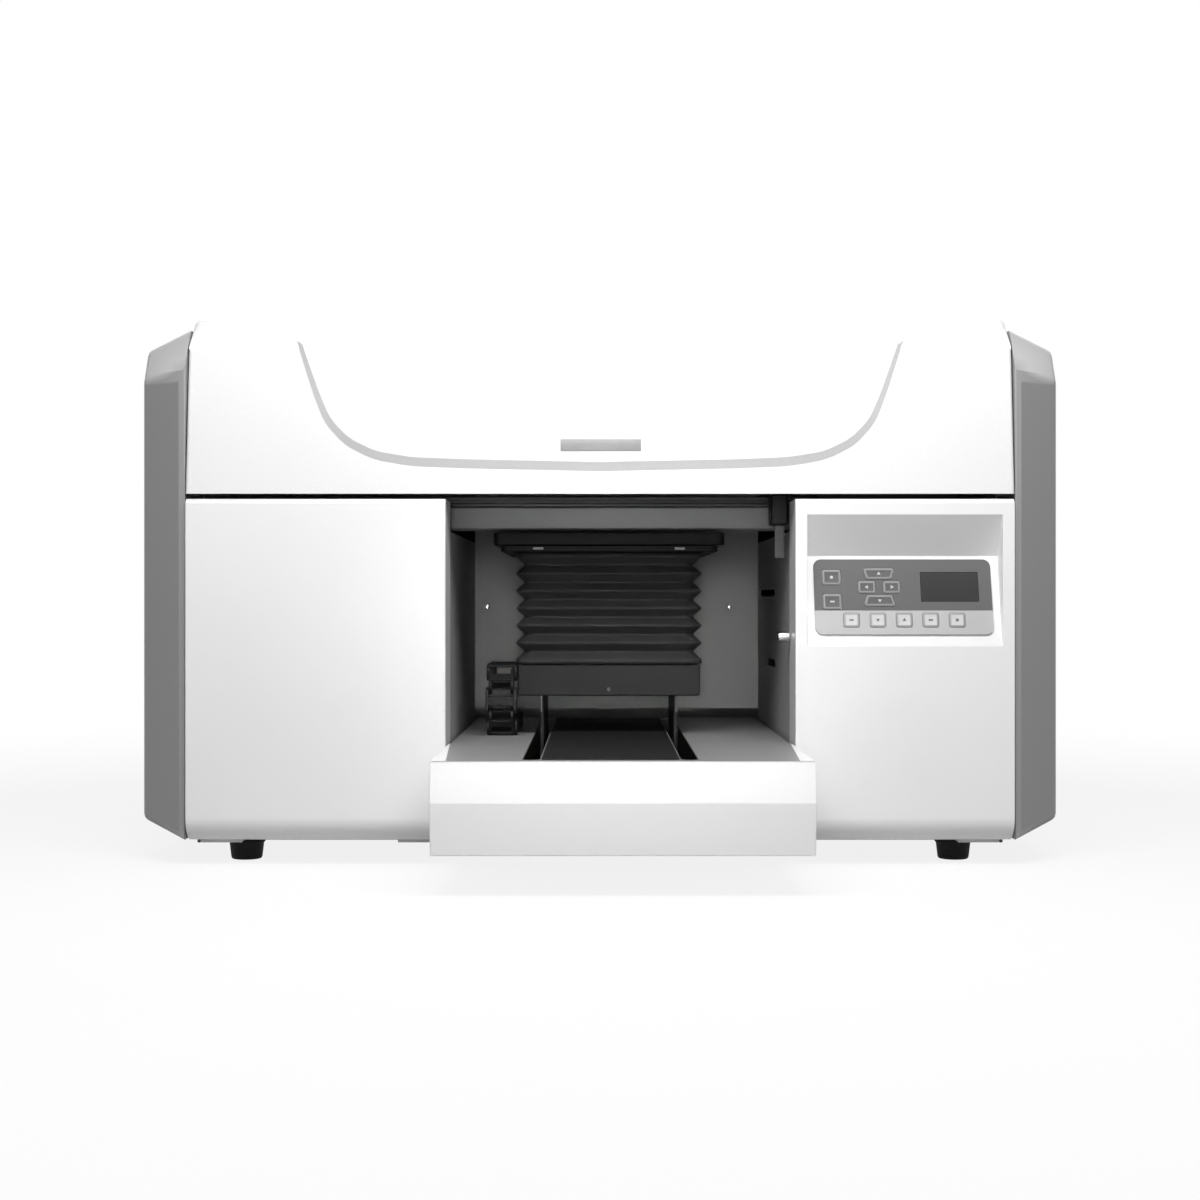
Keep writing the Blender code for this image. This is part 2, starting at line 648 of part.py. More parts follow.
def cover_solid(inset):
    """The right side cover's outer form, or its hollow when inset, which is open towards the body."""
    inner = BODY_HALF_WIDTH + COVER_GAP
    rim = inner + COVER_RIM
    outer = inner + COVER_WIDTH
    front = depth(COVER_SETBACK)
    rear = REAR_Y - COVER_SETBACK
    bm = block(inner - (OVERSHOOT if inset else 0), outer - inset, front - OVERSHOOT, rear + OVERSHOOT,
               COVER_BOTTOM_Z - OVERSHOOT, COVER_TOP_Z + OVERSHOOT)
    tilt_top = Vector((COVER_TOP_DROP, 0, COVER_WIDTH)).normalized()
    tilt_bottom = Vector((COVER_BOTTOM_RISE, 0, -COVER_WIDTH)).normalized()
    bevel_front = Vector((1, -1, 0)).normalized()
    bevel_rear = Vector((1, 1, 0)).normalized()
    up = Vector((0, 0, 1))
    brow_front = (bevel_front + up * COVER_BROW_LEAN).normalized()
    brow_rear = (bevel_rear + up * COVER_BROW_LEAN).normalized()
    planes = [((inner, 0, COVER_TOP_Z), tilt_top), ((inner, 0, COVER_BOTTOM_Z), tilt_bottom),
              ((rim, front, 0), bevel_front), ((rim, rear, 0), bevel_rear),
              ((rim, front, COVER_BROW_Z), brow_front), ((rim, rear, COVER_BROW_Z), brow_rear),
              ((inner, front, 0), Vector((0, -1, 0))), ((inner, rear, 0), Vector((0, 1, 0)))]
    for point, normal in planes:
        slice_off(bm, Vector(point) - normal * inset, normal)
    bmesh.ops.recalc_face_normals(bm, faces=bm.faces)
    outside = (lambda edge: max(v.co.x for v in edge.verts) > inner + COVER_EDGE)
    return soften(bm, COVER_EDGE - inset, 3, outside)


def cover_bosses():
    """Pillars inside the right side cover that seat it on the chassis side plate."""
    start = SIDE_PLATE_INNER_X + SHEET + CLEARANCE
    end = BODY_HALF_WIDTH + COVER_GAP + COVER_WIDTH - COVER_WALL / 2
    return merged([rod("X", BOSS_RADIUS, (0, depth(d), z), start, end, steps=12)
                   for d in BOSS_DEPTHS for z in BOSS_HEIGHTS])


def side_covers():
    for name, side in (("left_side_cover", -1), ("right_side_cover", 1)):
        shapes = [cover_solid(0), cover_solid(COVER_WALL), cover_bosses()]
        if side < 0:
            for bm in shapes:
                bmesh.ops.scale(bm, vec=(-1, 1, 1), verts=bm.verts)
                bmesh.ops.reverse_faces(bm, faces=bm.faces)
        shell, hollow, bosses = shapes
        cover = place(name, shell, "grey_cover")
        cut(cover, hollow)
        fuse(cover, bosses)


def hood_outline(inset=0.0):
    """Section of the hood: a leaning front, a sloped shoulder, a flat top and an upright back."""
    outer = [(FRONT_Y, HOOD_BOTTOM_Z), (REAR_Y, HOOD_BOTTOM_Z), (REAR_Y, HOOD_TOP_Z),
             (depth(HOOD_SHOULDER_DEPTH), HOOD_TOP_Z), (depth(HOOD_LEAN), HOOD_TOP_Z - HOOD_SHOULDER_DROP)]
    if not inset:
        return outer
    inner = offset(outer, -inset)
    floor = HOOD_BOTTOM_Z + 2 * inset
    return [(y, HOOD_BOTTOM_Z - OVERSHOOT if z < floor else z) for y, z in inner]


def hood_face_y(z):
    """The hood's front face at a height."""
    return depth(HOOD_LEAN * (z - HOOD_BOTTOM_Z) / (HOOD_HEIGHT - HOOD_SHOULDER_DROP))


def shield_outline():
    """The raised shield on the hood's front: bowed sides, a rounded heel and a shallow bottom."""
    top = HOOD_TOP_Z - HOOD_SHOULDER_DROP
    half = [(SHIELD_TOP_HALF - SHIELD_HEEL_INSET, HOOD_BOTTOM_Z + SHIELD_HEEL_RISE),
            (SHIELD_TOP_HALF - SHIELD_WAIST_INSET, HOOD_BOTTOM_Z + SHIELD_WAIST_RISE), (SHIELD_TOP_HALF, top)]
    corners = [(0, HOOD_BOTTOM_Z + SHIELD_BOTTOM_RISE)] + half + [(-a, b) for a, b in reversed(half)]
    steps = 6
    points = rounded(corners, SHIELD_ROUND, steps)
    bend = steps + 1
    return points[:3 * bend] + corners[3:5] + points[5 * bend:]


def hood_shield():
    """Stands proud within a bevelled edge at its lower side, and fades into the hood at the shoulder."""
    top = HOOD_TOP_Z - HOOD_SHOULDER_DROP
    low = HOOD_BOTTOM_Z + SHIELD_BOTTOM_RISE
    outline = shield_outline()
    face = [(a, min(b, top)) for a, b in offset(outline, -SHIELD_BEVEL)]
    rings = []
    bm = bmesh.new()
    for points, raised in ((outline, False), (face, True)):
        ring = []
        for x, z in points:
            proud = SHIELD_PROUD * max(top - z, 0) / (top - low) if raised else -HOOD_WALL / 2
            ring.append(bm.verts.new((x, hood_face_y(z) - proud, z)))
        rings.append(ring)
    back, front = rings
    bm.faces.new(back)
    bm.faces.new(front)
    for i in range(len(back)):
        j = (i + 1) % len(back)
        bm.faces.new((back[i], back[j], front[j], front[i]))
    bmesh.ops.recalc_face_normals(bm, faces=bm.faces)
    return bm


def hood_knuckle(x):
    """A lug inside the hood's back that turns on the hinge pin."""
    wall = HINGE_INSET - HOOD_WALL / 2
    barrel = arc((0, 0), KNUCKLE_RADIUS, 180, 360, 8)
    web = [(wall, KNUCKLE_RADIUS), (wall, 4 * KNUCKLE_RADIUS), (-KNUCKLE_RADIUS, 2 * KNUCKLE_RADIUS)]
    outline = at(barrel + web, (HINGE_Y, HINGE_Z))
    return prism("X", outline, x - KNUCKLE_LENGTH / 2, x + KNUCKLE_LENGTH / 2)


def hinge_reach():
    return KNUCKLE_LENGTH / 2 + KNUCKLE_GAP + EAR_LENGTH


def rear_cut(x0, x1, top):
    """Opens the hood's back below a height."""
    return block(x0, x1, REAR_Y - 2 * HOOD_WALL, REAR_Y + OVERSHOOT, HOOD_BOTTOM_Z - OVERSHOOT, top)


def pin_bore(x):
    reach = hinge_reach() + OVERSHOOT
    return rod("X", HINGE_PIN_RADIUS + CLEARANCE, (x, HINGE_Y, HINGE_Z), -reach, reach)


def hood():
    def not_bottom(edge):
        return max(v.co.z for v in edge.verts) > HOOD_BOTTOM_Z + HOOD_EDGE

    outer = soften(prism("X", hood_outline(), -BODY_HALF_WIDTH, BODY_HALF_WIDTH), HOOD_EDGE, 3, not_bottom)
    shell = place("hood_shell", outer, "white_cover", (0, HINGE_Y, HINGE_Z))
    inside = BODY_HALF_WIDTH - HOOD_WALL
    hollow = prism("X", hood_outline(HOOD_WALL), -inside, inside)
    soften(hollow, HOOD_EDGE - HOOD_WALL, 3, not_bottom)
    cut(shell, hollow)
    cut(shell, rear_cut(-inside, inside, HINGE_Z - HOOD_REAR_DROP))
    notch = hinge_reach() + HINGE_NOTCH_RISE
    notch_top = HINGE_Z + HINGE_NOTCH_RISE
    cut(shell, merged([rear_cut(x - notch, x + notch, notch_top) for x in (-HINGE_X, HINGE_X)]))
    fuse(shell, hood_shield())
    fuse(shell, merged([hood_knuckle(-HINGE_X), hood_knuckle(HINGE_X)]))
    cut(shell, merged([pin_bore(-HINGE_X), pin_bore(HINGE_X)]))


def hinge_pins():
    reach = hinge_reach()
    for name, x in (("hinge_pin_left", -HINGE_X), ("hinge_pin_right", HINGE_X)):
        pin = rod("X", HINGE_PIN_RADIUS, (x, HINGE_Y, HINGE_Z), -reach, reach, CLEARANCE)
        place(name, pin, "steel", (x, HINGE_Y, HINGE_Z))


def hinge_ears(x):
    """The two ears on the rear panel that hold a pin either side of the hood's knuckle."""
    wall = HINGE_INSET - REAR_SHEET / 2
    barrel = arc((0, 0), KNUCKLE_RADIUS, 0, 180, 8)
    web = [(-KNUCKLE_RADIUS, -EAR_DROP), (wall, -EAR_DROP), (wall, EAR_FOOT - EAR_DROP),
           (KNUCKLE_RADIUS, EAR_FOOT - EAR_DROP)]
    outline = at(barrel + web, (HINGE_Y, HINGE_Z))
    near = KNUCKLE_LENGTH / 2 + KNUCKLE_GAP
    return [prism("X", outline, x - near - EAR_LENGTH, x - near),
            prism("X", outline, x + near, x + near + EAR_LENGTH)]


def rear_panel():
    half = SIDE_PLATE_INNER_X + SHEET
    panel = place("rear_panel", block(-half, half, REAR_Y - REAR_SHEET, REAR_Y, DECK_Z, REAR_PANEL_TOP_Z),
                  "chassis_sheet")
    fuse(panel, merged(hinge_ears(-HINGE_X) + hinge_ears(HINGE_X)))
    cut(panel, merged([pin_bore(-HINGE_X), pin_bore(HINGE_X)]))
    slots = []
    for x in (-VENT_X, VENT_X):
        for i in range(VENT_ROWS):
            z = VENT_Z + (i - (VENT_ROWS - 1) / 2) * VENT_PITCH
            outline = rounded(rectangle(x - VENT_LENGTH / 2, x + VENT_LENGTH / 2,
                                        z - VENT_HEIGHT / 2, z + VENT_HEIGHT / 2), VENT_HEIGHT / 2.01)
            slots.append(prism("Y", outline, REAR_Y - OVERSHOOT, REAR_Y + OVERSHOOT))
    slots.append(prism("Y", offset(inlet_outline(), CLEARANCE), REAR_Y - OVERSHOOT, REAR_Y + OVERSHOOT))
    cut(panel, merged(slots))


def inlet_outline():
    half = INLET_WIDTH / 2
    return rounded(rectangle(INLET_X - half, INLET_X + half, INLET_Z - INLET_HEIGHT / 2,
                             INLET_Z + INLET_HEIGHT / 2), INLET_CORNER)


def well(size, rise, deep):
    """A pocket in the inlet's rear face."""
    return block(INLET_X - size[0] / 2, INLET_X + size[0] / 2, REAR_Y - deep, REAR_Y + OVERSHOOT,
                 INLET_Z + rise - size[1] / 2, INLET_Z + rise + size[1] / 2)


def mains_inlet():
    inlet = place("mains_inlet", prism("Y", inlet_outline(), REAR_Y - INLET_DEPTH, REAR_Y), "black_plastic")
    cut(inlet, merged([well(SOCKET, SOCKET_RISE, SOCKET_DEPTH),
                       well(ROCKER_WELL, -ROCKER_DROP, ROCKER_WELL_DEPTH)]))
    half = ROCKER_WELL[1] / 2 - 2 * CLEARANCE
    slope = half * math.tan(math.radians(ROCKER_TILT))
    pivot = (INLET_X, REAR_Y - slope - ROCKER_RADIUS, INLET_Z - ROCKER_DROP)
    face = [(ROCKER_RADIUS - slope, -half), (ROCKER_RADIUS, 0), (ROCKER_RADIUS - slope, half)]
    back = arc((0, 0), ROCKER_RADIUS, 120, 240, 6)
    width = ROCKER_WELL[0] / 2 - CLEARANCE
    shape = prism("X", face + back, -width, width)
    turn = Matrix.Translation(pivot) @ Matrix.Rotation(math.radians(ROCKER_TILT), 4, "X")
    bmesh.ops.transform(shape, matrix=turn, verts=shape.verts)
    place("power_rocker", shape, "black_plastic", pivot)


def wall_slot(slot, x):
    start, end, z = slot
    half = WALL_SLOT_HEIGHT / 2
    outline = rounded(rectangle(depth(start), depth(end), z - half, z + half), half * 0.99)
    return prism("X", outline, x - OVERSHOOT, x + OVERSHOOT)


def bay_walls():
    front = depth(PANEL_DEPTH) + CLEARANCE
    rear = depth(BACK_WALL_DEPTH) + 2 * SHEET
    place("left_bay_wall", block(BAY_LEFT_X - SHEET, BAY_LEFT_X, front, rear, DECK_Z, WALL_TOP_Z), "bay_wall")
    right = place("right_bay_wall", block(BAY_RIGHT_X, BAY_RIGHT_X + SHEET, front, rear, DECK_Z, WALL_TOP_Z),
                  "bay_wall")
    cut(right, merged([wall_slot(WALL_SLOT_UPPER, BAY_RIGHT_X), wall_slot(WALL_SLOT_LOWER, BAY_RIGHT_X)]))
    face = depth(BACK_WALL_DEPTH)
    sheet = block(BAY_LEFT_X + CLEARANCE, BAY_RIGHT_X - CLEARANCE, face, face + SHEET,
                  BACK_WALL_BOTTOM_Z, BACK_WALL_TOP_Z)
    place("back_bay_wall", sheet, "bay_wall")
    stud_end = (BAY_RIGHT_X - CLEARANCE, depth(STUD_DEPTH), STUD_Z)
    stud = rod("X", STUD_RADIUS, stud_end, -STUD_LENGTH, 0, 0.001, 16)
    place("wall_stud", stud, "steel")


def extension_outline():
    """Section of the extension cover: a folded front, a flat bottom, and a tail inside the body."""
    front = depth(-EXTENSION_REACH)
    tail = depth(EXTENSION_TUCK)
    return [(front + EXTENSION_LEAN, EXTENSION_BOTTOM_Z), (tail, EXTENSION_BOTTOM_Z), (tail, FLOOR_Z),
            (front + EXTENSION_LEAN, FLOOR_Z), (front, EXTENSION_FOLD_Z)]


def floor_front_y():
    return depth(-EXTENSION_REACH) + EXTENSION_LEAN + SHEET + CLEARANCE


def floor_left_x():
    return BED_LEFT_X + SHEET + CLEARANCE


def floor_right_x():
    return BED_RIGHT_X - SHEET - CLEARANCE


def front_extension():
    cover = place("front_extension", prism("X", extension_outline(), BED_LEFT_X, BED_RIGHT_X), "white_cover")
    tail = depth(EXTENSION_TUCK)
    hollow = []
    for y, z in offset(extension_outline(), -SHEET):
        hollow.append((tail + OVERSHOOT if y > tail - 2 * SHEET else y,
                       FLOOR_Z + OVERSHOOT if z > FLOOR_Z - 2 * SHEET else z))
    cut(cover, prism("X", hollow, BED_LEFT_X + SHEET, BED_RIGHT_X - SHEET))


def bed_floor():
    rear = depth(FRAME_REAR_DEPTH)
    floor = place("bed_floor", block(floor_left_x(), floor_right_x(), floor_front_y(), rear,
                                     FLOOR_Z - SHEET, FLOOR_Z), "bed_floor")
    slots = []
    for x in (LIFT_X - SLOT_OFFSET, LIFT_X + SLOT_OFFSET):
        outline = rounded(rectangle(x - SLOT_WIDTH / 2, x + SLOT_WIDTH / 2, depth(SLOT_FRONT_DEPTH),
                                    depth(SLOT_REAR_DEPTH)), SLOT_WIDTH / 2.01, 4)
        slots.append(prism("Z", outline, FLOOR_Z - OVERSHOOT, FLOOR_Z + OVERSHOOT))
    cut(floor, merged(slots))
    cover = block(LIFT_X - SLOT_COVER_WIDTH / 2, LIFT_X + SLOT_COVER_WIDTH / 2, depth(SLOT_FRONT_DEPTH),
                  depth(SLOT_REAR_DEPTH), FLOOR_Z + CLEARANCE, FLOOR_Z + CLEARANCE + SLOT_COVER_THICKNESS)
    place("slot_cover", soften(cover, SLOT_COVER_THICKNESS / 3, 1), "black_sheet")


def bed_frame():
    """A channel that holds up the floor, on two bearers, with a bearing for the Y screw at its front."""
    top = FLOOR_Z - SHEET - CLEARANCE
    left = floor_left_x() + CLEARANCE
    right = floor_right_x() - CLEARANCE
    seat = FRAME_BOTTOM_Z + FRAME_WALL
    outline = [(left, FRAME_BOTTOM_Z), (right, FRAME_BOTTOM_Z), (right, top), (right - FRAME_WALL, top),
               (right - FRAME_WALL, seat), (left + FRAME_WALL, seat), (left + FRAME_WALL, top), (left, top)]
    frame = place("bed_frame", prism("Y", outline, floor_front_y(), depth(FRAME_REAR_DEPTH)), "chassis_sheet")
    bearers = [block(left, right, depth(near), depth(near) + BEARER_WIDTH, DECK_Z, seat - FRAME_WALL / 2)
               for near in BEARER_DEPTHS]
    fuse(frame, merged(bearers))
    half = 2 * Y_SCREW_RADIUS
    front = depth(SLOT_FRONT_DEPTH)
    fuse(frame, block(LIFT_X - half, LIFT_X + half, front - Y_BEARING_LENGTH, front,
                      seat - FRAME_WALL / 2, Y_SCREW_Z + half))
    cut(frame, rod("Y", Y_SCREW_RADIUS + CLEARANCE, (LIFT_X, 0, Y_SCREW_Z), front - Y_BEARING_LENGTH / 2,
                   front + OVERSHOOT))


def rail_outline(centre, bottom, height):
    """Section of a linear rail, drawn in at its waist."""
    half = RAIL_WIDTH / 2
    waist = half - RAIL_WAIST
    low = bottom + height / 3
    high = bottom + 2 * height / 3
    return [(centre - half, bottom), (centre + half, bottom), (centre + half, low), (centre + waist, low),
            (centre + waist, high), (centre + half, high), (centre + half, bottom + height),
            (centre - half, bottom + height), (centre - half, high), (centre - waist, high),
            (centre - waist, low), (centre - half, low)]


def y_drive():
    seat = FRAME_BOTTOM_Z + FRAME_WALL + CLEARANCE
    front = depth(SLOT_FRONT_DEPTH)
    for name, x in (("y_rail_left", LIFT_X - SLOT_OFFSET), ("y_rail_right", LIFT_X + SLOT_OFFSET)):
        place(name, prism("Y", rail_outline(x, seat, RAIL_HEIGHT), front, depth(SLOT_REAR_DEPTH)), "steel")
    centre = (LIFT_X, 0, Y_SCREW_Z)
    shaft_end = depth(SLOT_REAR_DEPTH)
    screw = rod("Y", Y_SCREW_RADIUS, centre, front - Y_BEARING_LENGTH / 2 + CLEARANCE, shaft_end, 0.001, 16)
    place("y_screw", screw, "steel", (LIFT_X, front, Y_SCREW_Z))
    half = MOTOR_SIDE / 2
    square = rectangle(LIFT_X - half, LIFT_X + half, Y_SCREW_Z - half, Y_SCREW_Z + half)
    outline = rounded(square, MOTOR_CORNER, 1)
    start = shaft_end + CLEARANCE
    place("y_motor", prism("Y", outline, start, start + MOTOR_LENGTH), "motor_black")


def y_carriage():
    """The lift's carriage: runners on the Y rails, a nut on the screw and two legs through the slots."""
    seat = FRAME_BOTTOM_Z + FRAME_WALL + CLEARANCE
    groove = RAIL_WIDTH / 2 + CLEARANCE
    roof = seat + RAIL_HEIGHT + CLEARANCE
    skirt = seat + RAIL_HEIGHT / 2
    plate_top = SADDLE_Z + SADDLE_THICKNESS
    leg_top = BASE_BOTTOM_Z - CLEARANCE
    right = [(NUT_WIDTH / 2, NUT_BOTTOM_Z), (NUT_WIDTH / 2, SADDLE_Z)]
    runner = SLOT_OFFSET - RUNNER_WIDTH / 2
    right += [(runner, SADDLE_Z), (runner, skirt),
              (SLOT_OFFSET - groove, skirt), (SLOT_OFFSET - groove, roof),
              (SLOT_OFFSET + groove, roof), (SLOT_OFFSET + groove, skirt),
              (SLOT_OFFSET + RUNNER_WIDTH / 2, skirt), (SLOT_OFFSET + RUNNER_WIDTH / 2, plate_top)]
    right += [(SLOT_OFFSET + LEG_THICKNESS / 2, plate_top), (SLOT_OFFSET + LEG_THICKNESS / 2, leg_top),
              (SLOT_OFFSET - LEG_THICKNESS / 2, leg_top), (SLOT_OFFSET - LEG_THICKNESS / 2, plate_top)]
    outline = at(right + [(-a, b) for a, b in reversed(right)], (LIFT_X, 0))
    front = depth(LIFT_DEPTH) - LEG_LENGTH / 2
    carriage = place("y_carriage", prism("Y", outline, front, front + LEG_LENGTH), "dark_casting",
                     (LIFT_X, depth(LIFT_DEPTH), SADDLE_Z))
    cut(carriage, rod("Y", Y_SCREW_RADIUS + CLEARANCE, (LIFT_X, front, Y_SCREW_Z), -OVERSHOOT,
                      LEG_LENGTH + OVERSHOOT, steps=16))


def lift_centre(z):
    return (LIFT_X, depth(LIFT_DEPTH), z)


def post_centres(z):
    x, y, _ = lift_centre(z)
    return [(x, y - POST_OFFSET, z), (x, y + POST_OFFSET, z)]


def lift_box(inset, z0, z1):
    x, y, _ = lift_centre(0)
    half_x = BASE_WIDTH / 2 - inset
    half_y = BASE_LENGTH / 2 - inset
    return block(x - half_x, x + half_x, y - half_y, y + half_y, z0, z1)


def lift_base():
    """A hollow casting with a sleeve for each guide post and an eye for the lift nut."""
    top = BASE_BOTTOM_Z + BASE_HEIGHT
    box = soften(lift_box(0, BASE_BOTTOM_Z, top), BASE_EDGE)
    base = place("lift_base", box, "dark_casting", lift_centre(top))
    cut(base, lift_box(BASE_WALL, BASE_BOTTOM_Z + BASE_WALL, top - BASE_WALL))
    sleeve = POST_RADIUS + SLEEVE_WALL
    fuse(base, merged([rod("Z", sleeve, c, top - BASE_WALL / 2, SLEEVE_TOP_Z) for c in post_centres(0)]))
    bores = [rod("Z", POST_RADIUS + CLEARANCE, c, top - 2 * BASE_WALL, SLEEVE_TOP_Z + OVERSHOOT, steps=16)
             for c in post_centres(0)]
    bores.append(rod("Z", Z_NUT_RADIUS + CLEARANCE, lift_centre(0), top - 2 * BASE_WALL, top + OVERSHOOT))
    cut(base, merged(bores))


def carrier_bottom_z():
    return PLATEN_TOP_Z - PLATEN_THICKNESS - CLEARANCE - CARRIER_THICKNESS


def bellows_ring(inset):
    half_x = BELLOWS_WIDTH / 2 - inset
    half_y = BELLOWS_LENGTH / 2 - inset
    return rounded(rectangle(-half_x, half_x, -half_y, half_y), BELLOWS_CORNER)


def bellows():
    """A pleated sleeve of one wall, with a plain collar on the lift base, open at both ends."""
    bottom = BASE_BOTTOM_Z + BASE_HEIGHT + CLEARANCE
    top = carrier_bottom_z() - CLEARANCE
    start = bottom + BELLOWS_COLLAR
    folds = 2 * BELLOWS_PLEATS
    levels = [(bottom, 0.0)]
    for i in range(folds + 1):
        levels.append((start + (top - start) * i / folds, PLEAT_REACH if i % 2 else 0.0))
    x, y, _ = lift_centre(bottom)
    bm = bmesh.new()
    skins = []
    for wall in (0.0, BELLOWS_WALL):
        skins.append([[bm.verts.new((x + a, y + b, z)) for a, b in bellows_ring(inset + wall)]
                      for z, inset in levels])
    outer, inner = skins
    rings = outer + inner[::-1]
    for lower, upper in zip(rings, rings[1:] + rings[:1]):
        for i in range(len(lower)):
            j = (i + 1) % len(lower)
            bm.faces.new((lower[i], lower[j], upper[j], upper[i]))
    bmesh.ops.recalc_face_normals(bm, faces=bm.faces)
    place("bellows", bm, "bellows_cloth", lift_centre(bottom))


def z_screw():
    start = BASE_BOTTOM_Z + BASE_WALL + CLEARANCE
    screw = rod("Z", Z_SCREW_RADIUS, lift_centre(0), start, Z_SCREW_TOP_Z, 0.001, 16)
    place("z_screw", screw, "steel", lift_centre(start))


def platen_carrier():
    """The plate under the platen, with the lift nut at its middle and a guide post either side."""
    x, y, _ = lift_centre(0)
    half_x = PLATEN_WIDTH / 2 - CARRIER_INSET
    half_y = PLATEN_LENGTH / 2 - CARRIER_INSET
    bottom = carrier_bottom_z()
    outline = rounded(rectangle(x - half_x, x + half_x, y - half_y, y + half_y), PLATEN_CORNER)
    carrier = place("platen_carrier", prism("Z", outline, bottom, bottom + CARRIER_THICKNESS), "black_sheet",
                    lift_centre(bottom))
    inside = bottom + CARRIER_THICKNESS / 2
    shafts = [rod("Z", POST_RADIUS, c, POST_BOTTOM_Z, inside, steps=16) for c in post_centres(0)]
    shafts.append(rod("Z", Z_NUT_RADIUS, lift_centre(0), Z_NUT_BOTTOM_Z, inside))
    fuse(carrier, merged(shafts))
    bore = Z_SCREW_RADIUS + CLEARANCE
    cut(carrier, rod("Z", bore, lift_centre(0), Z_NUT_BOTTOM_Z - OVERSHOOT, bottom, steps=16))


def platen():
    x, y, _ = lift_centre(0)
    half_x = PLATEN_WIDTH / 2
    half_y = PLATEN_LENGTH / 2
    outline = rounded(rectangle(x - half_x, x + half_x, y - half_y, y + half_y), PLATEN_CORNER)
    plate = soften(prism("Z", outline, PLATEN_TOP_Z - PLATEN_THICKNESS, PLATEN_TOP_Z), PLATEN_EDGE, 1,
                   lambda edge: abs(edge.verts[0].co.z - edge.verts[1].co.z) < CLEARANCE)
    place("platen", plate, "black_sheet", lift_centre(PLATEN_TOP_Z))


def chain_window(matrix):
    """A pocket between two cross bars of the chain, cut into its outer side."""
    half = CHAIN_WIDTH / 2 - CHAIN_SIDE
    pocket = block(-half, half, -CHAIN_WINDOW / 2, CHAIN_WINDOW / 2, -CHAIN_WINDOW_DEPTH, OVERSHOOT)
    bmesh.ops.transform(pocket, matrix=matrix, verts=pocket.verts)
    return pocket


def cable_chain():
    """A drag chain laid on the floor, bent up at its front and back along the lift base's side."""
    radius = CHAIN_HEIGHT / 2
    low = FLOOR_Z + CLEARANCE
    bend = (depth(CHAIN_FRONT_DEPTH) + radius, low + radius)
    inner = arc(bend, radius - CHAIN_BAND, 90, 270, 12)
    outer = arc(bend, radius, 270, 90, 16)
    lower = depth(CHAIN_LOWER_REAR_DEPTH)
    upper = depth(CHAIN_UPPER_REAR_DEPTH)
    outline = ([(upper, low + CHAIN_HEIGHT - CHAIN_BAND)] + inner + [(lower, low + CHAIN_BAND), (lower, low)]
               + outer + [(upper, low + CHAIN_HEIGHT)])
    right = LIFT_X - BASE_WIDTH / 2 - CLEARANCE
    middle = right - CHAIN_WIDTH / 2
    chain = place("cable_chain", prism("X", outline, right - CHAIN_WIDTH, right), "black_plastic",
                  (middle, bend[0], low))
    windows = []
    turns = int(math.pi * radius / CHAIN_PITCH)
    for i in range(turns + 1):
        angle = math.radians(90 - 180 * i / turns)
        centre = (middle, bend[0] - radius * math.cos(angle), bend[1] + radius * math.sin(angle))
        turn = Matrix.Rotation(math.pi / 2 - angle, 4, "X")
        windows.append(chain_window(Matrix.Translation(centre) @ turn))
    for i in range(1, int((upper - bend[0]) / CHAIN_PITCH)):
        centre = (middle, bend[0] + i * CHAIN_PITCH, low + CHAIN_HEIGHT)
        windows.append(chain_window(Matrix.Translation(centre)))
    cut(chain, merged(windows))


def belt_middle_y():
    """The belt runs just behind the gantry beam."""
    return depth(BEAM_DEPTH) + BEAM_THICKNESS + PULLEY_GAP + PULLEY_WIDTH / 2


def pulley_x():
    return SIDE_PLATE_INNER_X - CLEARANCE - MOTOR_SIDE / 2


def belt_z():
    return BEAM_BOTTOM_Z + BEAM_HEIGHT / 2 + 2 * CLEARANCE


def gantry_beam():
    front = depth(BEAM_DEPTH)
    rear = front + BEAM_THICKNESS
    top = BEAM_BOTTOM_Z + BEAM_HEIGHT
    middle = (BEAM_BOTTOM_Z + top) / 2
    outline = [(front + BEAM_EDGE, BEAM_BOTTOM_Z), (rear, BEAM_BOTTOM_Z), (rear, middle - BEAM_GROOVE),
               (rear - BEAM_GROOVE, middle), (rear, middle + BEAM_GROOVE), (rear, top),
               (front + BEAM_EDGE, top), (front, top - BEAM_EDGE), (front, BEAM_BOTTOM_Z + BEAM_EDGE)]
    reach = SIDE_PLATE_INNER_X - CLEARANCE
    beam = place("gantry_beam", prism("X", outline, -reach, reach), "beam_grey")
    stud_end = belt_middle_y() + PULLEY_WIDTH / 2
    axle = (pulley_x(), 0, belt_z())
    fuse(beam, rod("Y", MOTOR_SHAFT_RADIUS, axle, rear - 2 * BEAM_GROOVE, stud_end, steps=12))
    rail = prism("X", rail_outline(front + BEAM_THICKNESS / 2, top + CLEARANCE, X_RAIL_HEIGHT), -reach, reach)
    place("x_rail", rail, "steel")


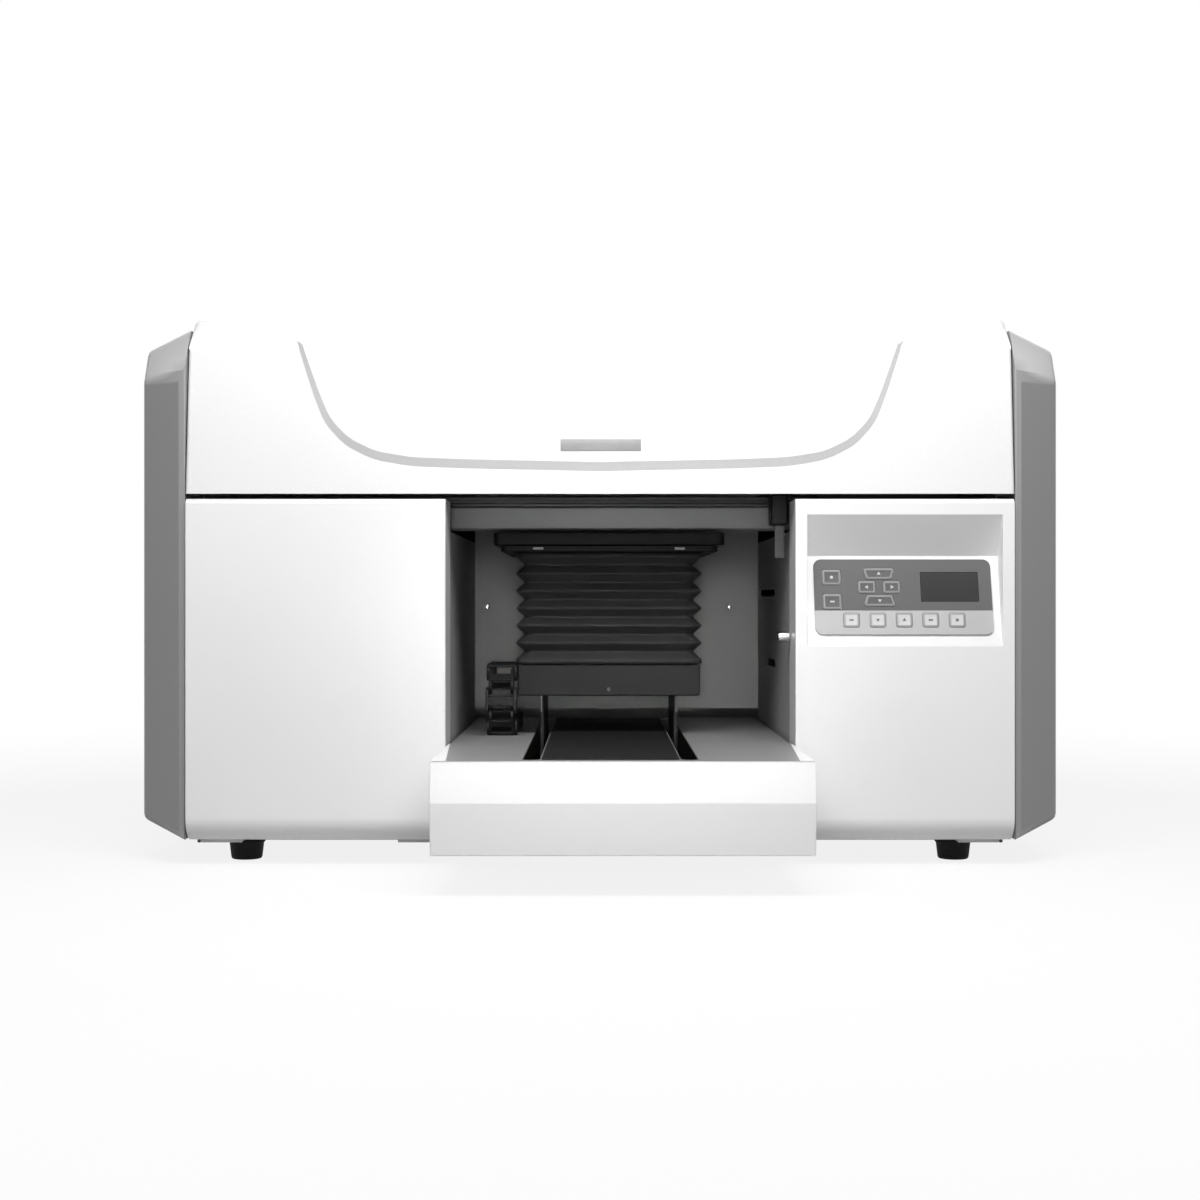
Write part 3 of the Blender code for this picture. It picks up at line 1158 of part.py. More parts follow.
def x_drive():
    y = belt_middle_y()
    z = belt_z()
    half = PULLEY_WIDTH / 2
    face = BELT_WIDTH / 2 + CLEARANCE
    rim = PULLEY_RADIUS + PULLEY_FLANGE
    bore = MOTOR_SHAFT_RADIUS + CLEARANCE
    for name, x in (("x_drive_pulley", -pulley_x()), ("x_idler_pulley", pulley_x())):
        profile = [(bore, -half), (rim, -half), (rim, -face), (PULLEY_RADIUS, -face), (PULLEY_RADIUS, face),
                   (rim, face), (rim, half), (bore, half), (bore, -half)]
        place(name, turned("Y", profile, (x, y, z), 20), "steel", (x, y, z))
    centre = pulley_x()
    inner = PULLEY_RADIUS + CLEARANCE
    loops = []
    for radius in (inner + BELT_THICKNESS, inner):
        loops.append(arc((centre, z), radius, -90, 90, 10) + arc((-centre, z), radius, 90, 270, 10))
    belt = place("x_belt", prism("Y", loops[0], y - BELT_WIDTH / 2, y + BELT_WIDTH / 2), "rubber")
    cut(belt, prism("Y", loops[1], y - BELT_WIDTH, y + BELT_WIDTH))
    side = MOTOR_SIDE / 2
    start = y + half + CLEARANCE
    outline = rounded(rectangle(-centre - side, -centre + side, z - side, z + side), MOTOR_CORNER, 1)
    motor = place("x_motor", prism("Y", outline, start, start + MOTOR_LENGTH), "motor_black")
    fuse(motor, rod("Y", MOTOR_SHAFT_RADIUS, (-centre, 0, z), y - half, start + MOTOR_LENGTH / 2, steps=12))


def height_sensor():
    """A sensor block on the beam's front beside the right bay wall, with a feeler blade below it."""
    right = BAY_RIGHT_X - 4 * CLEARANCE
    left = right - SENSOR_WIDTH
    rear = depth(BEAM_DEPTH) - CLEARANCE
    bottom = BEAM_BOTTOM_Z + 2 * BEAM_EDGE
    box = soften(block(left, right, rear - SENSOR_DEPTH, rear, bottom, bottom + SENSOR_HEIGHT), 0.0015, 1)
    sensor = place("height_sensor", box, "black_plastic")
    middle = left + BLADE_WIDTH
    blade_rear = rear - SENSOR_DEPTH / 2
    blade = block(middle - BLADE_WIDTH / 2, middle + BLADE_WIDTH / 2, blade_rear - BLADE_THICKNESS, blade_rear,
                  bottom - SENSOR_DROP, bottom + SENSOR_HEIGHT / 2)
    fuse(sensor, blade)


def carriage_outline():
    """Section of the print carriage: a runner over the X rail, and a body that hangs behind the beam."""
    rail = depth(BEAM_DEPTH) + BEAM_THICKNESS / 2
    rail_top = BEAM_BOTTOM_Z + BEAM_HEIGHT + CLEARANCE + X_RAIL_HEIGHT
    skirt = BEAM_BOTTOM_Z + BEAM_HEIGHT + RUNNER_LIFT
    groove = RAIL_WIDTH / 2 + CLEARANCE
    front = rail - RAIL_WIDTH
    back = belt_middle_y() + PULLEY_WIDTH / 2 + PULLEY_GAP
    rear = depth(CARRIAGE_REAR_DEPTH)
    return [(front, skirt), (rail - groove, skirt), (rail - groove, rail_top + CLEARANCE),
            (rail + groove, rail_top + CLEARANCE), (rail + groove, skirt), (back, skirt),
            (back, CARRIAGE_BOTTOM_Z), (rear, CARRIAGE_BOTTOM_Z),
            (rear, CARRIAGE_TOP_Z - CARRIAGE_BEVEL), (rear - CARRIAGE_BEVEL, CARRIAGE_TOP_Z),
            (front + CARRIAGE_BEVEL, CARRIAGE_TOP_Z), (front, CARRIAGE_TOP_Z - CARRIAGE_BEVEL)]


def print_carriage():
    left = CARRIAGE_X - CARRIAGE_WIDTH / 2
    right = CARRIAGE_X + CARRIAGE_WIDTH / 2

    def upper_end(edge):
        heights = [v.co.z for v in edge.verts]
        ends = [v.co.x for v in edge.verts]
        return min(heights) > CARRIAGE_TOP_Z - 2 * CARRIAGE_BEVEL and abs(ends[0] - ends[1]) < CLEARANCE

    body = soften(prism("X", carriage_outline(), left, right), CARRIAGE_EDGE, 2, upper_end)
    origin = (CARRIAGE_X, depth(HEAD_DEPTH), CARRIAGE_BOTTOM_Z)
    place("print_carriage", body, "black_plastic", origin)
    half_x = HEAD_WIDTH / 2
    front = depth(HEAD_DEPTH) - HEAD_LENGTH / 2
    rear = depth(HEAD_DEPTH) + HEAD_LENGTH / 2
    top = CARRIAGE_BOTTOM_Z - CLEARANCE
    step = HEAD_BOTTOM_Z + NOZZLE_HEIGHT
    body = block(CARRIAGE_X - half_x, CARRIAGE_X + half_x, front, rear, step, top)
    head = place("print_head", body, "steel", origin)
    half_x -= NOZZLE_INSET
    fuse(head, block(CARRIAGE_X - half_x, CARRIAGE_X + half_x, front + NOZZLE_INSET, rear - NOZZLE_INSET,
                     HEAD_BOTTOM_Z, (step + top) / 2))


def service_station():
    """The capping station where the head parks: a pedestal with a spread foot and a sealing cup."""
    half = STATION_WIDTH / 2
    front = depth(HEAD_DEPTH) - STATION_LENGTH / 2
    rear = depth(HEAD_DEPTH) + STATION_LENGTH / 2
    top = HEAD_BOTTOM_Z - STATION_GAP
    waist = half - STATION_FOOT
    edge = [(half, DECK_Z), (half, DECK_Z + STATION_FOOT), (waist, DECK_Z + 2 * STATION_FOOT),
            (waist, top - 2 * STATION_FOOT), (half, top - STATION_FOOT), (half, top)]
    outline = edge + [(-a, b) for a, b in reversed(edge)]
    station = place("service_station", prism("Y", at(outline, (CARRIAGE_X, 0)), front, rear), "black_plastic")
    rim = half - CAP_RIM
    cut(station, block(CARRIAGE_X - rim, CARRIAGE_X + rim, front + CAP_RIM, rear - CAP_RIM, top - CAP_DEPTH,
                       top + OVERSHOOT))


def ink_tank():
    """A moulded ink reservoir with a filler neck for each chamber."""
    front = depth(TANK_DEPTH) - TANK_LENGTH / 2
    top = DECK_Z + TANK_HEIGHT
    body = soften(block(TANK_LEFT_X, TANK_RIGHT_X, front, front + TANK_LENGTH, DECK_Z, top), TANK_EDGE, 2)
    tank = place("ink_tank", body, "tank_plastic")
    pitch = (TANK_RIGHT_X - TANK_LEFT_X) / TANK_NECKS
    necks = []
    for i in range(TANK_NECKS):
        x = TANK_LEFT_X + (i + 1 / 2) * pitch
        foot = (x, depth(TANK_DEPTH), 0)
        necks.append(rod("Z", NECK_RADIUS, foot, top - NECK_HEIGHT, top + NECK_HEIGHT, 0.002, 16))
    fuse(tank, merged(necks))


def build():
    clear_scene()
    base_pan()
    feet()
    side_plates()
    front_panels()
    keypad()
    side_covers()
    rear_panel()
    mains_inlet()
    hinge_pins()
    hood()
    bay_walls()
    front_extension()
    bed_frame()
    bed_floor()
    y_drive()
    y_carriage()
    lift_base()
    bellows()
    z_screw()
    platen_carrier()
    platen()
    cable_chain()
    gantry_beam()
    x_drive()
    height_sensor()
    print_carriage()
    service_station()
    ink_tank()


build()
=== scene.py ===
import json
import math

import bmesh
import bpy
from mathutils import Matrix, Vector

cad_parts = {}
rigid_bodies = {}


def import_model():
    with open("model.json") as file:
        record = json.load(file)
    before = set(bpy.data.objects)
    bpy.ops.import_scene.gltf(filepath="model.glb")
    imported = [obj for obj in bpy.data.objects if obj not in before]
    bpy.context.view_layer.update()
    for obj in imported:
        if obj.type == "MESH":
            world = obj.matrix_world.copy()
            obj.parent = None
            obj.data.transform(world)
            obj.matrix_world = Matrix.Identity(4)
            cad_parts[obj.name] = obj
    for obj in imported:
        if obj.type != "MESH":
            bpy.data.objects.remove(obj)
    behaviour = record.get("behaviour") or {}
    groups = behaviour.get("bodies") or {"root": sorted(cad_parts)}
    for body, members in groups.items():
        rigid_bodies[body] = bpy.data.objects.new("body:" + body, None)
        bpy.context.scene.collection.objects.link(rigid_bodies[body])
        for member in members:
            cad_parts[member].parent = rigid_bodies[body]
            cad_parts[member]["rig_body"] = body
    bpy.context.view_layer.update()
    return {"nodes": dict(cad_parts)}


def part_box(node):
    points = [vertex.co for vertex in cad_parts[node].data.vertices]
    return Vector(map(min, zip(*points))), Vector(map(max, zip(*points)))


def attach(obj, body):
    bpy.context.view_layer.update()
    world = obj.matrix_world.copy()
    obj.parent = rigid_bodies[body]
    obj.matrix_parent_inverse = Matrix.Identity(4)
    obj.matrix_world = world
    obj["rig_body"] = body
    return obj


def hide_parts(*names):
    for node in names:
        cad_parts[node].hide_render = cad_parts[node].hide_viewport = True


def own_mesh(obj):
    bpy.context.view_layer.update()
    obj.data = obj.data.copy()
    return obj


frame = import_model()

# Base pan: one folded steel sheet under the whole machine, powder coated in a dark grey.
# The feet are screwed up through it, and the side plates and the bed frame stand on it.
NOISE_LOW, NOISE_HIGH = 0.3, 0.7
SAME_POINT, WELD_REACH = 1e-6, 2e-6
FLAT_DEGREES, FLAT_FACE_WEIGHT = 0.3, 80


def grey(level):
    """A paint colour from its lightness on the 0 to 255 scale of a screen."""
    share = level / 255
    linear = share / 12.92 if share <= 0.04045 else ((share + 0.055) / 1.055) ** 2.4
    return (linear, linear, linear, 1.0)


def set_sockets(node, sockets):
    """Gives each socket of a shader node a value, or links it to another node's output."""
    for name, value in sockets.items():
        if isinstance(value, bpy.types.NodeSocket):
            node.id_data.links.new(value, node.inputs[name])
        else:
            node.inputs[name].default_value = value


def add_node(tree, kind, sockets=None, **settings):
    """A new shader node with its settings and its sockets."""
    node = tree.nodes.new("ShaderNode" + kind)
    for name, value in settings.items():
        setattr(node, name, value)
    set_sockets(node, sockets or {})
    return node


def noise(tree, place, scale, detail):
    """Soft noise over the given places."""
    sockets = {"Vector": place, "Scale": scale, "Detail": detail}
    return add_node(tree, "TexNoise", sockets).outputs["Fac"]


def ramp(tree, value, start, end, low=0.0, high=1.0):
    """A value led from one range to another."""
    sockets = {"Value": value, "From Min": start, "From Max": end, "To Min": low, "To Max": high}
    return add_node(tree, "MapRange", sockets).outputs[0]


def mix_colours(tree, share, first, second):
    """Two colours mixed by a share."""
    return add_node(tree, "Mix", {0: share, 6: first, 7: second}, data_type="RGBA").outputs[2]


def new_grain(name, inputs):
    """An empty node group that gives colour, roughness and height, with its inputs and its output node."""
    group = bpy.data.node_groups.new(name, "ShaderNodeTree")
    for socket, kind in inputs.items():
        group.interface.new_socket(name=socket, in_out="INPUT", socket_type="NodeSocket" + kind)
    for socket, kind in {"Color": "Color", "Roughness": "Float", "Height": "Float"}.items():
        group.interface.new_socket(name=socket, in_out="OUTPUT", socket_type="NodeSocket" + kind)
    return group, group.nodes.new("NodeGroupInput").outputs, group.nodes.new("NodeGroupOutput")


def make_coat_grain():
    """Slow mottle in the colour and a fine tooth in the surface, as a sprayed or moulded finish has."""
    kinds = {"Tint": "Color", "Shade": "Color", "Mottle Scale": "Float", "Tooth Scale": "Float",
             "Smoothest": "Float", "Roughest": "Float"}
    group, given, result = new_grain("coat grain", kinds)
    place = add_node(group, "TexCoord").outputs["Object"]
    mottle = noise(group, place, given["Mottle Scale"], 3.0)
    tooth = noise(group, place, given["Tooth Scale"], 2.0)
    share = ramp(group, mottle, NOISE_LOW, NOISE_HIGH)
    rough = ramp(group, tooth, NOISE_LOW, NOISE_HIGH, given["Smoothest"], given["Roughest"])
    colour = mix_colours(group, share, given["Tint"], given["Shade"])
    set_sockets(result, {"Color": colour, "Roughness": rough, "Height": tooth})
    return group


coat_grain = make_coat_grain()


def new_finish(name):
    """A new material, its node tree and its shader."""
    material = bpy.data.materials.new(name)
    material.use_nodes = True
    return material, material.node_tree, material.node_tree.nodes["Principled BSDF"]


def finished(name, group, grain_sockets, relief, depth, shader_sockets):
    """A material whose colour, roughness and fine relief come from a shared group."""
    material, tree, shader = new_finish(name)
    set_sockets(shader, {key.replace("_", " "): value for key, value in shader_sockets.items()})
    grain = add_node(tree, "Group", grain_sockets, node_tree=group).outputs
    relief_sockets = {"Strength": relief, "Distance": depth, "Height": grain["Height"]}
    bump = add_node(tree, "Bump", relief_sockets)
    set_sockets(shader, {"Base Color": grain["Color"], "Roughness": grain["Roughness"],
                         "Normal": bump.outputs["Normal"]})
    return material


def coated(name, level, roughness, spread, mottle=9.0, tooth=900.0, relief=0.12, depth=0.0002,
           **shader_sockets):
    """A sprayed or moulded finish: lightness and its spread, and the lowest and highest roughness."""
    sockets = {"Tint": grey(level), "Shade": grey(level - spread), "Mottle Scale": mottle,
               "Tooth Scale": tooth, "Smoothest": roughness[0], "Roughest": roughness[1]}
    return finished(name, coat_grain, sockets, relief, depth, shader_sockets)


def node_form(node):
    """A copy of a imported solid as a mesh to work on, with its triangles joined into whole faces."""
    bm = bmesh.new()
    bm.from_mesh(frame["nodes"][node].data)
    bmesh.ops.remove_doubles(bm, verts=bm.verts, dist=SAME_POINT)
    bmesh.ops.dissolve_limit(bm, angle_limit=math.radians(FLAT_DEGREES), verts=bm.verts, edges=bm.edges)
    return bm


def show(name, bm, materials, body, stands_for=(), edge=0.0, segments=3, crease=38):
    """Makes a finished piece of a mesh, eases its edges sharper than the crease, and fixes it to its body."""
    mesh = bpy.data.meshes.new(name)
    bm.to_mesh(mesh)
    bm.free()
    mesh.polygons.foreach_set("use_smooth", [True] * len(mesh.polygons))
    for material in materials if isinstance(materials, (list, tuple)) else [materials]:
        mesh.materials.append(material)
    obj = bpy.data.objects.new(name, mesh)
    bpy.context.scene.collection.objects.link(obj)
    if edge:
        eased = obj.modifiers.new("eased edges", "BEVEL")
        eased.width = edge
        eased.segments = segments
        eased.limit_method = "ANGLE"
        eased.angle_limit = math.radians(crease)
        obj.modifiers.new("no doubled points", "WELD").merge_threshold = WELD_REACH
        obj.modifiers.new("flat faces stay flat", "WEIGHTED_NORMAL").weight = FLAT_FACE_WEIGHT
    else:
        mesh.set_sharp_from_angle(angle=math.radians(crease))
    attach(obj, body)
    if stands_for:
        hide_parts(*stands_for)
    return obj


def dress(node, material, edge, segments=3, crease=38):
    """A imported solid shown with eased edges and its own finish, on the same body."""
    body = frame["nodes"][node]["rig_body"]
    return show(node + "_finished", node_form(node), material, body, (node,), edge, segments, crease)


dark_coat = coated("dark chassis coat", 96, (0.46, 0.6), 8, Specular_IOR_Level=0.4)
dress("base_pan", dark_coat, edge=0.0006)

# Feet: four turned rubber bumpers with a thin flange, each held by one screw from below.
# They taper to the bench and have a shallow well for the screw head.
FOOT_TOP = 0.0212
FOOT_PROFILE = [(0, FOOT_TOP), (0.0182, FOOT_TOP), (0.0190, FOOT_TOP - 0.0008), (0.0190, 0.0176),
                (0.0182, 0.0168), (0.0176, 0.0160), (0.0160, 0.0022), (0.0155, 0.0008), (0.0145, 0),
                (0.0072, 0), (0.0068, 0.0006), (0.0068, 0.0040), (0, 0.0040)]


def turned(profile, place, steps=32):
    """A body turned about an upright axis from a profile of radius and height, then put in its place."""
    bm = bmesh.new()
    verts = [bm.verts.new((radius, 0, z)) for radius, z in profile]
    edges = [bm.edges.new(pair) for pair in zip(verts, verts[1:])]
    bmesh.ops.spin(bm, geom=verts + edges, axis=(0, 0, 1), angle=math.tau, steps=steps, use_merge=True)
    bmesh.ops.remove_doubles(bm, verts=bm.verts, dist=SAME_POINT)
    bmesh.ops.recalc_face_normals(bm, faces=bm.faces)
    bmesh.ops.transform(bm, matrix=place, verts=bm.verts)
    return bm


foot_rubber = coated("foot rubber", 34, (0.62, 0.8), 6, tooth=500.0, relief=0.25, Specular_IOR_Level=0.15)
for node in ("foot_front_left", "foot_front_right", "foot_rear_left", "foot_rear_right"):
    low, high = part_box(node)
    place = Matrix.Translation(((low.x + high.x) / 2, (low.y + high.y) / 2, 0))
    show(node + "_bumper", turned(FOOT_PROFILE, place), foot_rubber, "chassis", (node,))

# Side plates and rear panel: bent sheet steel, coated grey, screwed to the base pan.
# The rear panel has two vents and the ears that carry the hood's hinges.
sheet_coat = coated("rear sheet coat", 168, (0.42, 0.56), 5, Specular_IOR_Level=0.45)
for node in ("left_side_plate", "right_side_plate", "rear_panel"):
    dress(node, sheet_coat, edge=0.0005, segments=2)

# Vent pads: thin black pads behind the rear panel's slots, held by the sheet around them.
# They keep light and the white backdrop from showing through the slots, and their black paints the shade
# inside the machine.
REAR_SHEET = 0.003
VENT_PAD = (0.132, 0.004, 0.112)
PAD_EDGE, PAD_GAP = 0.0008, 0.0001
VENT_HEIGHT, VENT_REACH = 0.33, 0.22


def round_off(bm, geom, offset, segments, affect="EDGES"):
    """Rounds edges, or the corners of a flat outline."""
    bmesh.ops.bevel(bm, geom=geom, offset=offset, segments=segments, profile=0.5, affect=affect, material=-1)


def block(size, centre, edge, segments=2):
    """A box with eased edges."""
    bm = bmesh.new()
    bmesh.ops.create_cube(bm, size=1)
    bmesh.ops.scale(bm, vec=size, verts=bm.verts)
    if edge:
        round_off(bm, bm.edges[:], edge, segments)
    bmesh.ops.translate(bm, vec=centre, verts=bm.verts)
    return bm


def gather(whole, bm):
    """Moves one mesh into another."""
    part = bpy.data.meshes.new("part")
    bm.to_mesh(part)
    bm.free()
    whole.from_mesh(part)
    bpy.data.meshes.remove(part)


# Black of the vent pads: painted shade for the inside of the machine.
vent_pad_black = coated("vent pad black, painted shade", 30, (0.8, 0.95), 10, tooth=260.0, relief=0.9, depth=0.0008)
rear_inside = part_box("rear_panel")[1].y - REAR_SHEET
pads = bmesh.new()
for side in (-1, 1):
    centre = (side * VENT_REACH, rear_inside - PAD_GAP - VENT_PAD[1] / 2, VENT_HEIGHT)
    gather(pads, block(VENT_PAD, centre, PAD_EDGE))
show("vent_shade_pads", pads, vent_pad_black, "chassis")

# Corner angles: folded strips inside the two rear corners, which tie the side plates to the rear panel.
# They stop below the sweep of the hood's rear wall and keep light out of the corner.
ANGLE_SHEET, ANGLE_LAP, ANGLE_TOP, ANGLE_GAP = 0.0015, 0.018, 0.4775, 0.0002


def points_in(geom):
    """The vertices among the results of an operator."""
    return [g for g in geom if isinstance(g, bmesh.types.BMVert)]


def thicken(bm, faces, step):
    """Raises flat faces by one step into a solid, and turns its faces outwards."""
    raised = bmesh.ops.extrude_face_region(bm, geom=faces)["geom"]
    bmesh.ops.translate(bm, vec=step, verts=points_in(raised))
    bmesh.ops.recalc_face_normals(bm, faces=bm.faces)


def prism(outline, step):
    """A solid on a flat outline."""
    bm = bmesh.new()
    thicken(bm, [bm.faces.new([bm.verts.new(point) for point in outline])], step)
    return bm


plate_low, plate_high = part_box("right_side_plate")
side_x, lap_x = plate_low.x - ANGLE_GAP, plate_low.x - ANGLE_GAP - ANGLE_LAP
rear_y, lap_y = rear_inside - ANGLE_GAP, plate_high.y - ANGLE_LAP
angle_section = [(side_x, lap_y), (side_x, rear_y), (lap_x, rear_y), (lap_x, rear_y - ANGLE_SHEET),
                 (side_x - ANGLE_SHEET, rear_y - ANGLE_SHEET), (side_x - ANGLE_SHEET, lap_y)]
angles = bmesh.new()
for side in (-1, 1):
    outline = [(side * x, y, plate_low.z + ANGLE_GAP) for x, y in angle_section]
    gather(angles, prism(outline, (0, 0, ANGLE_TOP - plate_low.z)))
show("corner_angles", angles, sheet_coat, "chassis", edge=0.0004, segments=2)

# Screws: cap screws of blackened steel with a rounded rim and a sunk socket, turned in from the front.
# Bare metal, theirs and that of rails, pins and clips, shows the fine lines of grinding or drawing.
SCREW_SIDES = 20
SCREW_RIM, SOCKET_RIM, SOCKET_SINK = 0.4, 0.22, 0.6
LINES_SHADE, LINES_RELIEF, LINES_DEPTH = 30, 0.06, 0.0001


def make_metal_lines():
    """Fine lines of a ground surface: a noise drawn out along one direction."""
    kinds = {"Tint": "Color", "Shade": "Color", "Streaks": "Vector", "Smoothest": "Float",
             "Roughest": "Float"}
    group, given, result = new_grain("metal lines", kinds)
    place = add_node(group, "TexCoord").outputs["Object"]
    drawn = add_node(group, "VectorMath", {0: place, 1: given["Streaks"]}, operation="MULTIPLY")
    lines = noise(group, drawn.outputs[0], 1.0, 3.0)
    rough = ramp(group, lines, NOISE_LOW, NOISE_HIGH, given["Smoothest"], given["Roughest"])
    colour = mix_colours(group, lines, given["Tint"], given["Shade"])
    set_sockets(result, {"Color": colour, "Roughness": rough, "Height": lines})
    return group


metal_lines = make_metal_lines()


def brushed(name, level, roughness, streaks):
    """Ground or drawn metal, with fine lines along one direction."""
    sockets = {"Tint": grey(level), "Shade": grey(level - LINES_SHADE), "Streaks": streaks,
               "Smoothest": roughness[0], "Roughest": roughness[1]}
    return finished(name, metal_lines, sockets, LINES_RELIEF, LINES_DEPTH, {"Metallic": 1.0})


def screw_heads(spots, out, radius, height):
    """Socket screw heads at the given spots, standing out along one direction."""
    whole = bmesh.new()
    turn = Vector((0, 0, 1)).rotation_difference(Vector(out)).to_matrix().to_4x4()
    for spot in spots:
        bm = bmesh.new()
        bmesh.ops.create_cone(bm, cap_ends=True, segments=SCREW_SIDES, radius1=radius, radius2=radius,
                              depth=height)
        bmesh.ops.translate(bm, vec=(0, 0, height / 2), verts=bm.verts)
        rim = [e for e in bm.edges if all(v.co.z > height / 2 for v in e.verts)]
        round_off(bm, rim, height * SCREW_RIM, 3)
        top = max(bm.faces, key=lambda f: f.calc_center_median().z)
        bmesh.ops.inset_individual(bm, faces=[top], thickness=radius * SOCKET_RIM)
        sunk = bmesh.ops.extrude_discrete_faces(bm, faces=[top])["faces"]
        bmesh.ops.translate(bm, vec=(0, 0, -height * SOCKET_SINK), verts=sunk[0].verts)
        bmesh.ops.transform(bm, matrix=Matrix.Translation(spot) @ turn, verts=bm.verts)
        gather(whole, bm)
    return whole


black_bolt = brushed("blackened bolt", 92, (0.4, 0.52), (600, 600, 600))

# Base tabs: short strips folded out of the base pan's front edge, under the front panels.
# They carry the panels' lower edges, and a small black screw shows at the outer end of each side's tab.
TAB_FRONT, TAB_THICKNESS, TAB_LAP, TAB_EDGE = 0.0270, 0.0030, 0.001, 0.0004
TAB_SPANS = [(-0.4085, -0.3635), (-0.205, -0.1735), (0.3635, 0.4085)]
TAB_SCREW_X, TAB_SCREW_RADIUS, TAB_SCREW_HEIGHT = 0.4064, 0.0016, 0.0012
front_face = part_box("left_front_panel")[0].y
pan_low, pan_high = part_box("base_pan")
tab_y, tab_z = front_face + TAB_FRONT, pan_high.z - TAB_THICKNESS / 2
tabs = bmesh.new()
for start, end in TAB_SPANS:
    size = (end - start, pan_low.y + TAB_LAP - tab_y, TAB_THICKNESS)
    gather(tabs, block(size, ((start + end) / 2, tab_y + size[1] / 2, tab_z), TAB_EDGE))
tab_zinc = coated("galvanised tab", 208, (0.4, 0.55), 10, mottle=60.0, Specular_IOR_Level=0.5)
show("base_tabs", tabs, tab_zinc, "chassis")
tab_spots = [(side * TAB_SCREW_X, tab_y, tab_z) for side in (-1, 1)]
tab_screws = screw_heads(tab_spots, (0, -1, 0), TAB_SCREW_RADIUS, TAB_SCREW_HEIGHT)
show("base_tab_screws", tab_screws, black_bolt, "chassis")

# Mains inlet and rocker switch: a black moulded block in the rear panel, with a three-pin socket.
# The pins are plated blades, and the rocker tilts in a well below the socket.
PIN, PIN_EDGE = (0.002, 0.0135, 0.004), 0.0004
PIN_SPREAD, PIN_STEP, SOCKET_RISE, SOCKET_DEPTH = 0.0065, 0.004, 0.014, 0.016
black_moulding = coated("black moulding", 30, (0.34, 0.5), 5, Specular_IOR_Level=0.16)
dress("mains_inlet", black_moulding, edge=0.0006, segments=2)
rocker_black = coated("rocker black", 26, (0.22, 0.34), 4, Specular_IOR_Level=0.3)
dress("power_rocker", rocker_black, edge=0.0008)
plated = brushed("bright plating", 225, (0.14, 0.28), (400, 400, 400))
low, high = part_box("mains_inlet")
pin_y, socket_z = high.y - SOCKET_DEPTH + PIN[1] / 2, (low.z + high.z) / 2 + SOCKET_RISE
pins = bmesh.new()
for x, z in ((-PIN_SPREAD, -PIN_STEP / 2), (0, PIN_STEP / 2), (PIN_SPREAD, -PIN_STEP / 2)):
    gather(pins, block(PIN, ((low.x + high.x) / 2 + x, pin_y, socket_z + z), PIN_EDGE))
show("inlet_pins", pins, plated, "chassis")

# Bed frame, rails, lead screw and motor: a folded sheet channel under the bay's floor.
# Two ground rails and a screw carry the lift along it, turned by a motor at the back.
dress("bed_frame", dark_coat, edge=0.0005, segments=2)
ground_steel = brushed("ground steel", 200, (0.2, 0.34), (60, 4, 60))
for node in ("y_rail_left", "y_rail_right"):
    dress(node, ground_steel, edge=0.0005, segments=2)
screw_thread = brushed("rolled screw", 190, (0.24, 0.4), (300, 300, 300))
dress("y_screw", screw_thread, edge=0.0004, segments=2)
motor_coat = coated("motor enamel", 40, (0.3, 0.44), 5, Specular_IOR_Level=0.25)
dress("y_motor", motor_coat, edge=0.0008)

# Bay floor, slot cover and front extension: the floor is a grey sheet with two slots for the lift's legs.
# A black cover lies between the slots, and a white folded nose with two flat trims closes the front.
TRIM_WIDTH, TRIM_INSET = 0.0142, 0.0012
TRIM_THICKNESS, TRIM_GAP = 0.0003, 0.00005
floor_coat = coated("bay floor coat", 148, (0.32, 0.46), 5, Specular_IOR_Level=0.5)
dress("bed_floor", floor_coat, edge=0.0004, segments=2)
cover_anodised = coated("slot cover black", 36, (0.4, 0.52), 4, Specular_IOR_Level=0.1)
dress("slot_cover", cover_anodised, edge=0.0003, segments=2)
nose_coat = coated("front extension coat", 252, (0.34, 0.46), 2, relief=0.08, Specular_IOR_Level=0.5)
dress("front_extension", nose_coat, edge=0.0014, crease=8)
low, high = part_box("front_extension")
nose_points = frame["nodes"]["front_extension"].data.vertices
nose_y = min(v.co.y for v in nose_points if v.co.z > high.z - TRIM_THICKNESS)
trims = bmesh.new()
for edge_x, way in ((low.x, 1), (high.x, -1)):
    corners = [(TRIM_INSET, nose_y + TRIM_INSET), (TRIM_WIDTH, nose_y + TRIM_INSET),
               (2 * TRIM_INSET, front_face), (TRIM_INSET, front_face)]
    outline = [(edge_x + way * x, y, high.z + TRIM_GAP) for x, y in corners]
    gather(trims, prism(outline, (0, 0, TRIM_THICKNESS)))
show("extension_trims", trims, nose_coat, "chassis")

# Bay lining: two side walls and a back wall of thin sheet, coated in a matt mid grey.
# Two small domed screws hold the back wall, and a plated stud stands out of the right wall.
BACK_SCREW_Z = 0.259
BACK_SCREWS = ((-0.139, 2.6), (0.160, 0.0))  # place across, and degrees askew
DOME = [(0, 0.0015), (0.0010, 0.00147), (0.0020, 0.00136), (0.0027, 0.00118), (0.0031, 0.0009),
        (0.0032, 0), (0, 0)]
bay_coat = coated("bay lining coat", 178, (0.5, 0.64), 6, Specular_IOR_Level=0.2)
for node in ("left_bay_wall", "right_bay_wall", "back_bay_wall"):
    dress(node, bay_coat, edge=0.0003, segments=2)
dress("wall_stud", plated, edge=0.0012)
wall_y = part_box("back_bay_wall")[0].y
domes = bmesh.new()
for x, askew in BACK_SCREWS:
    seat = Matrix.Translation((x, wall_y, BACK_SCREW_Z)) @ Matrix.Rotation(math.radians(askew), 4, "Z")
    gather(domes, turned(DOME, seat @ Matrix.Rotation(math.pi / 2, 4, "X"), 24))
show("back_wall_screws", domes, plated, "chassis")
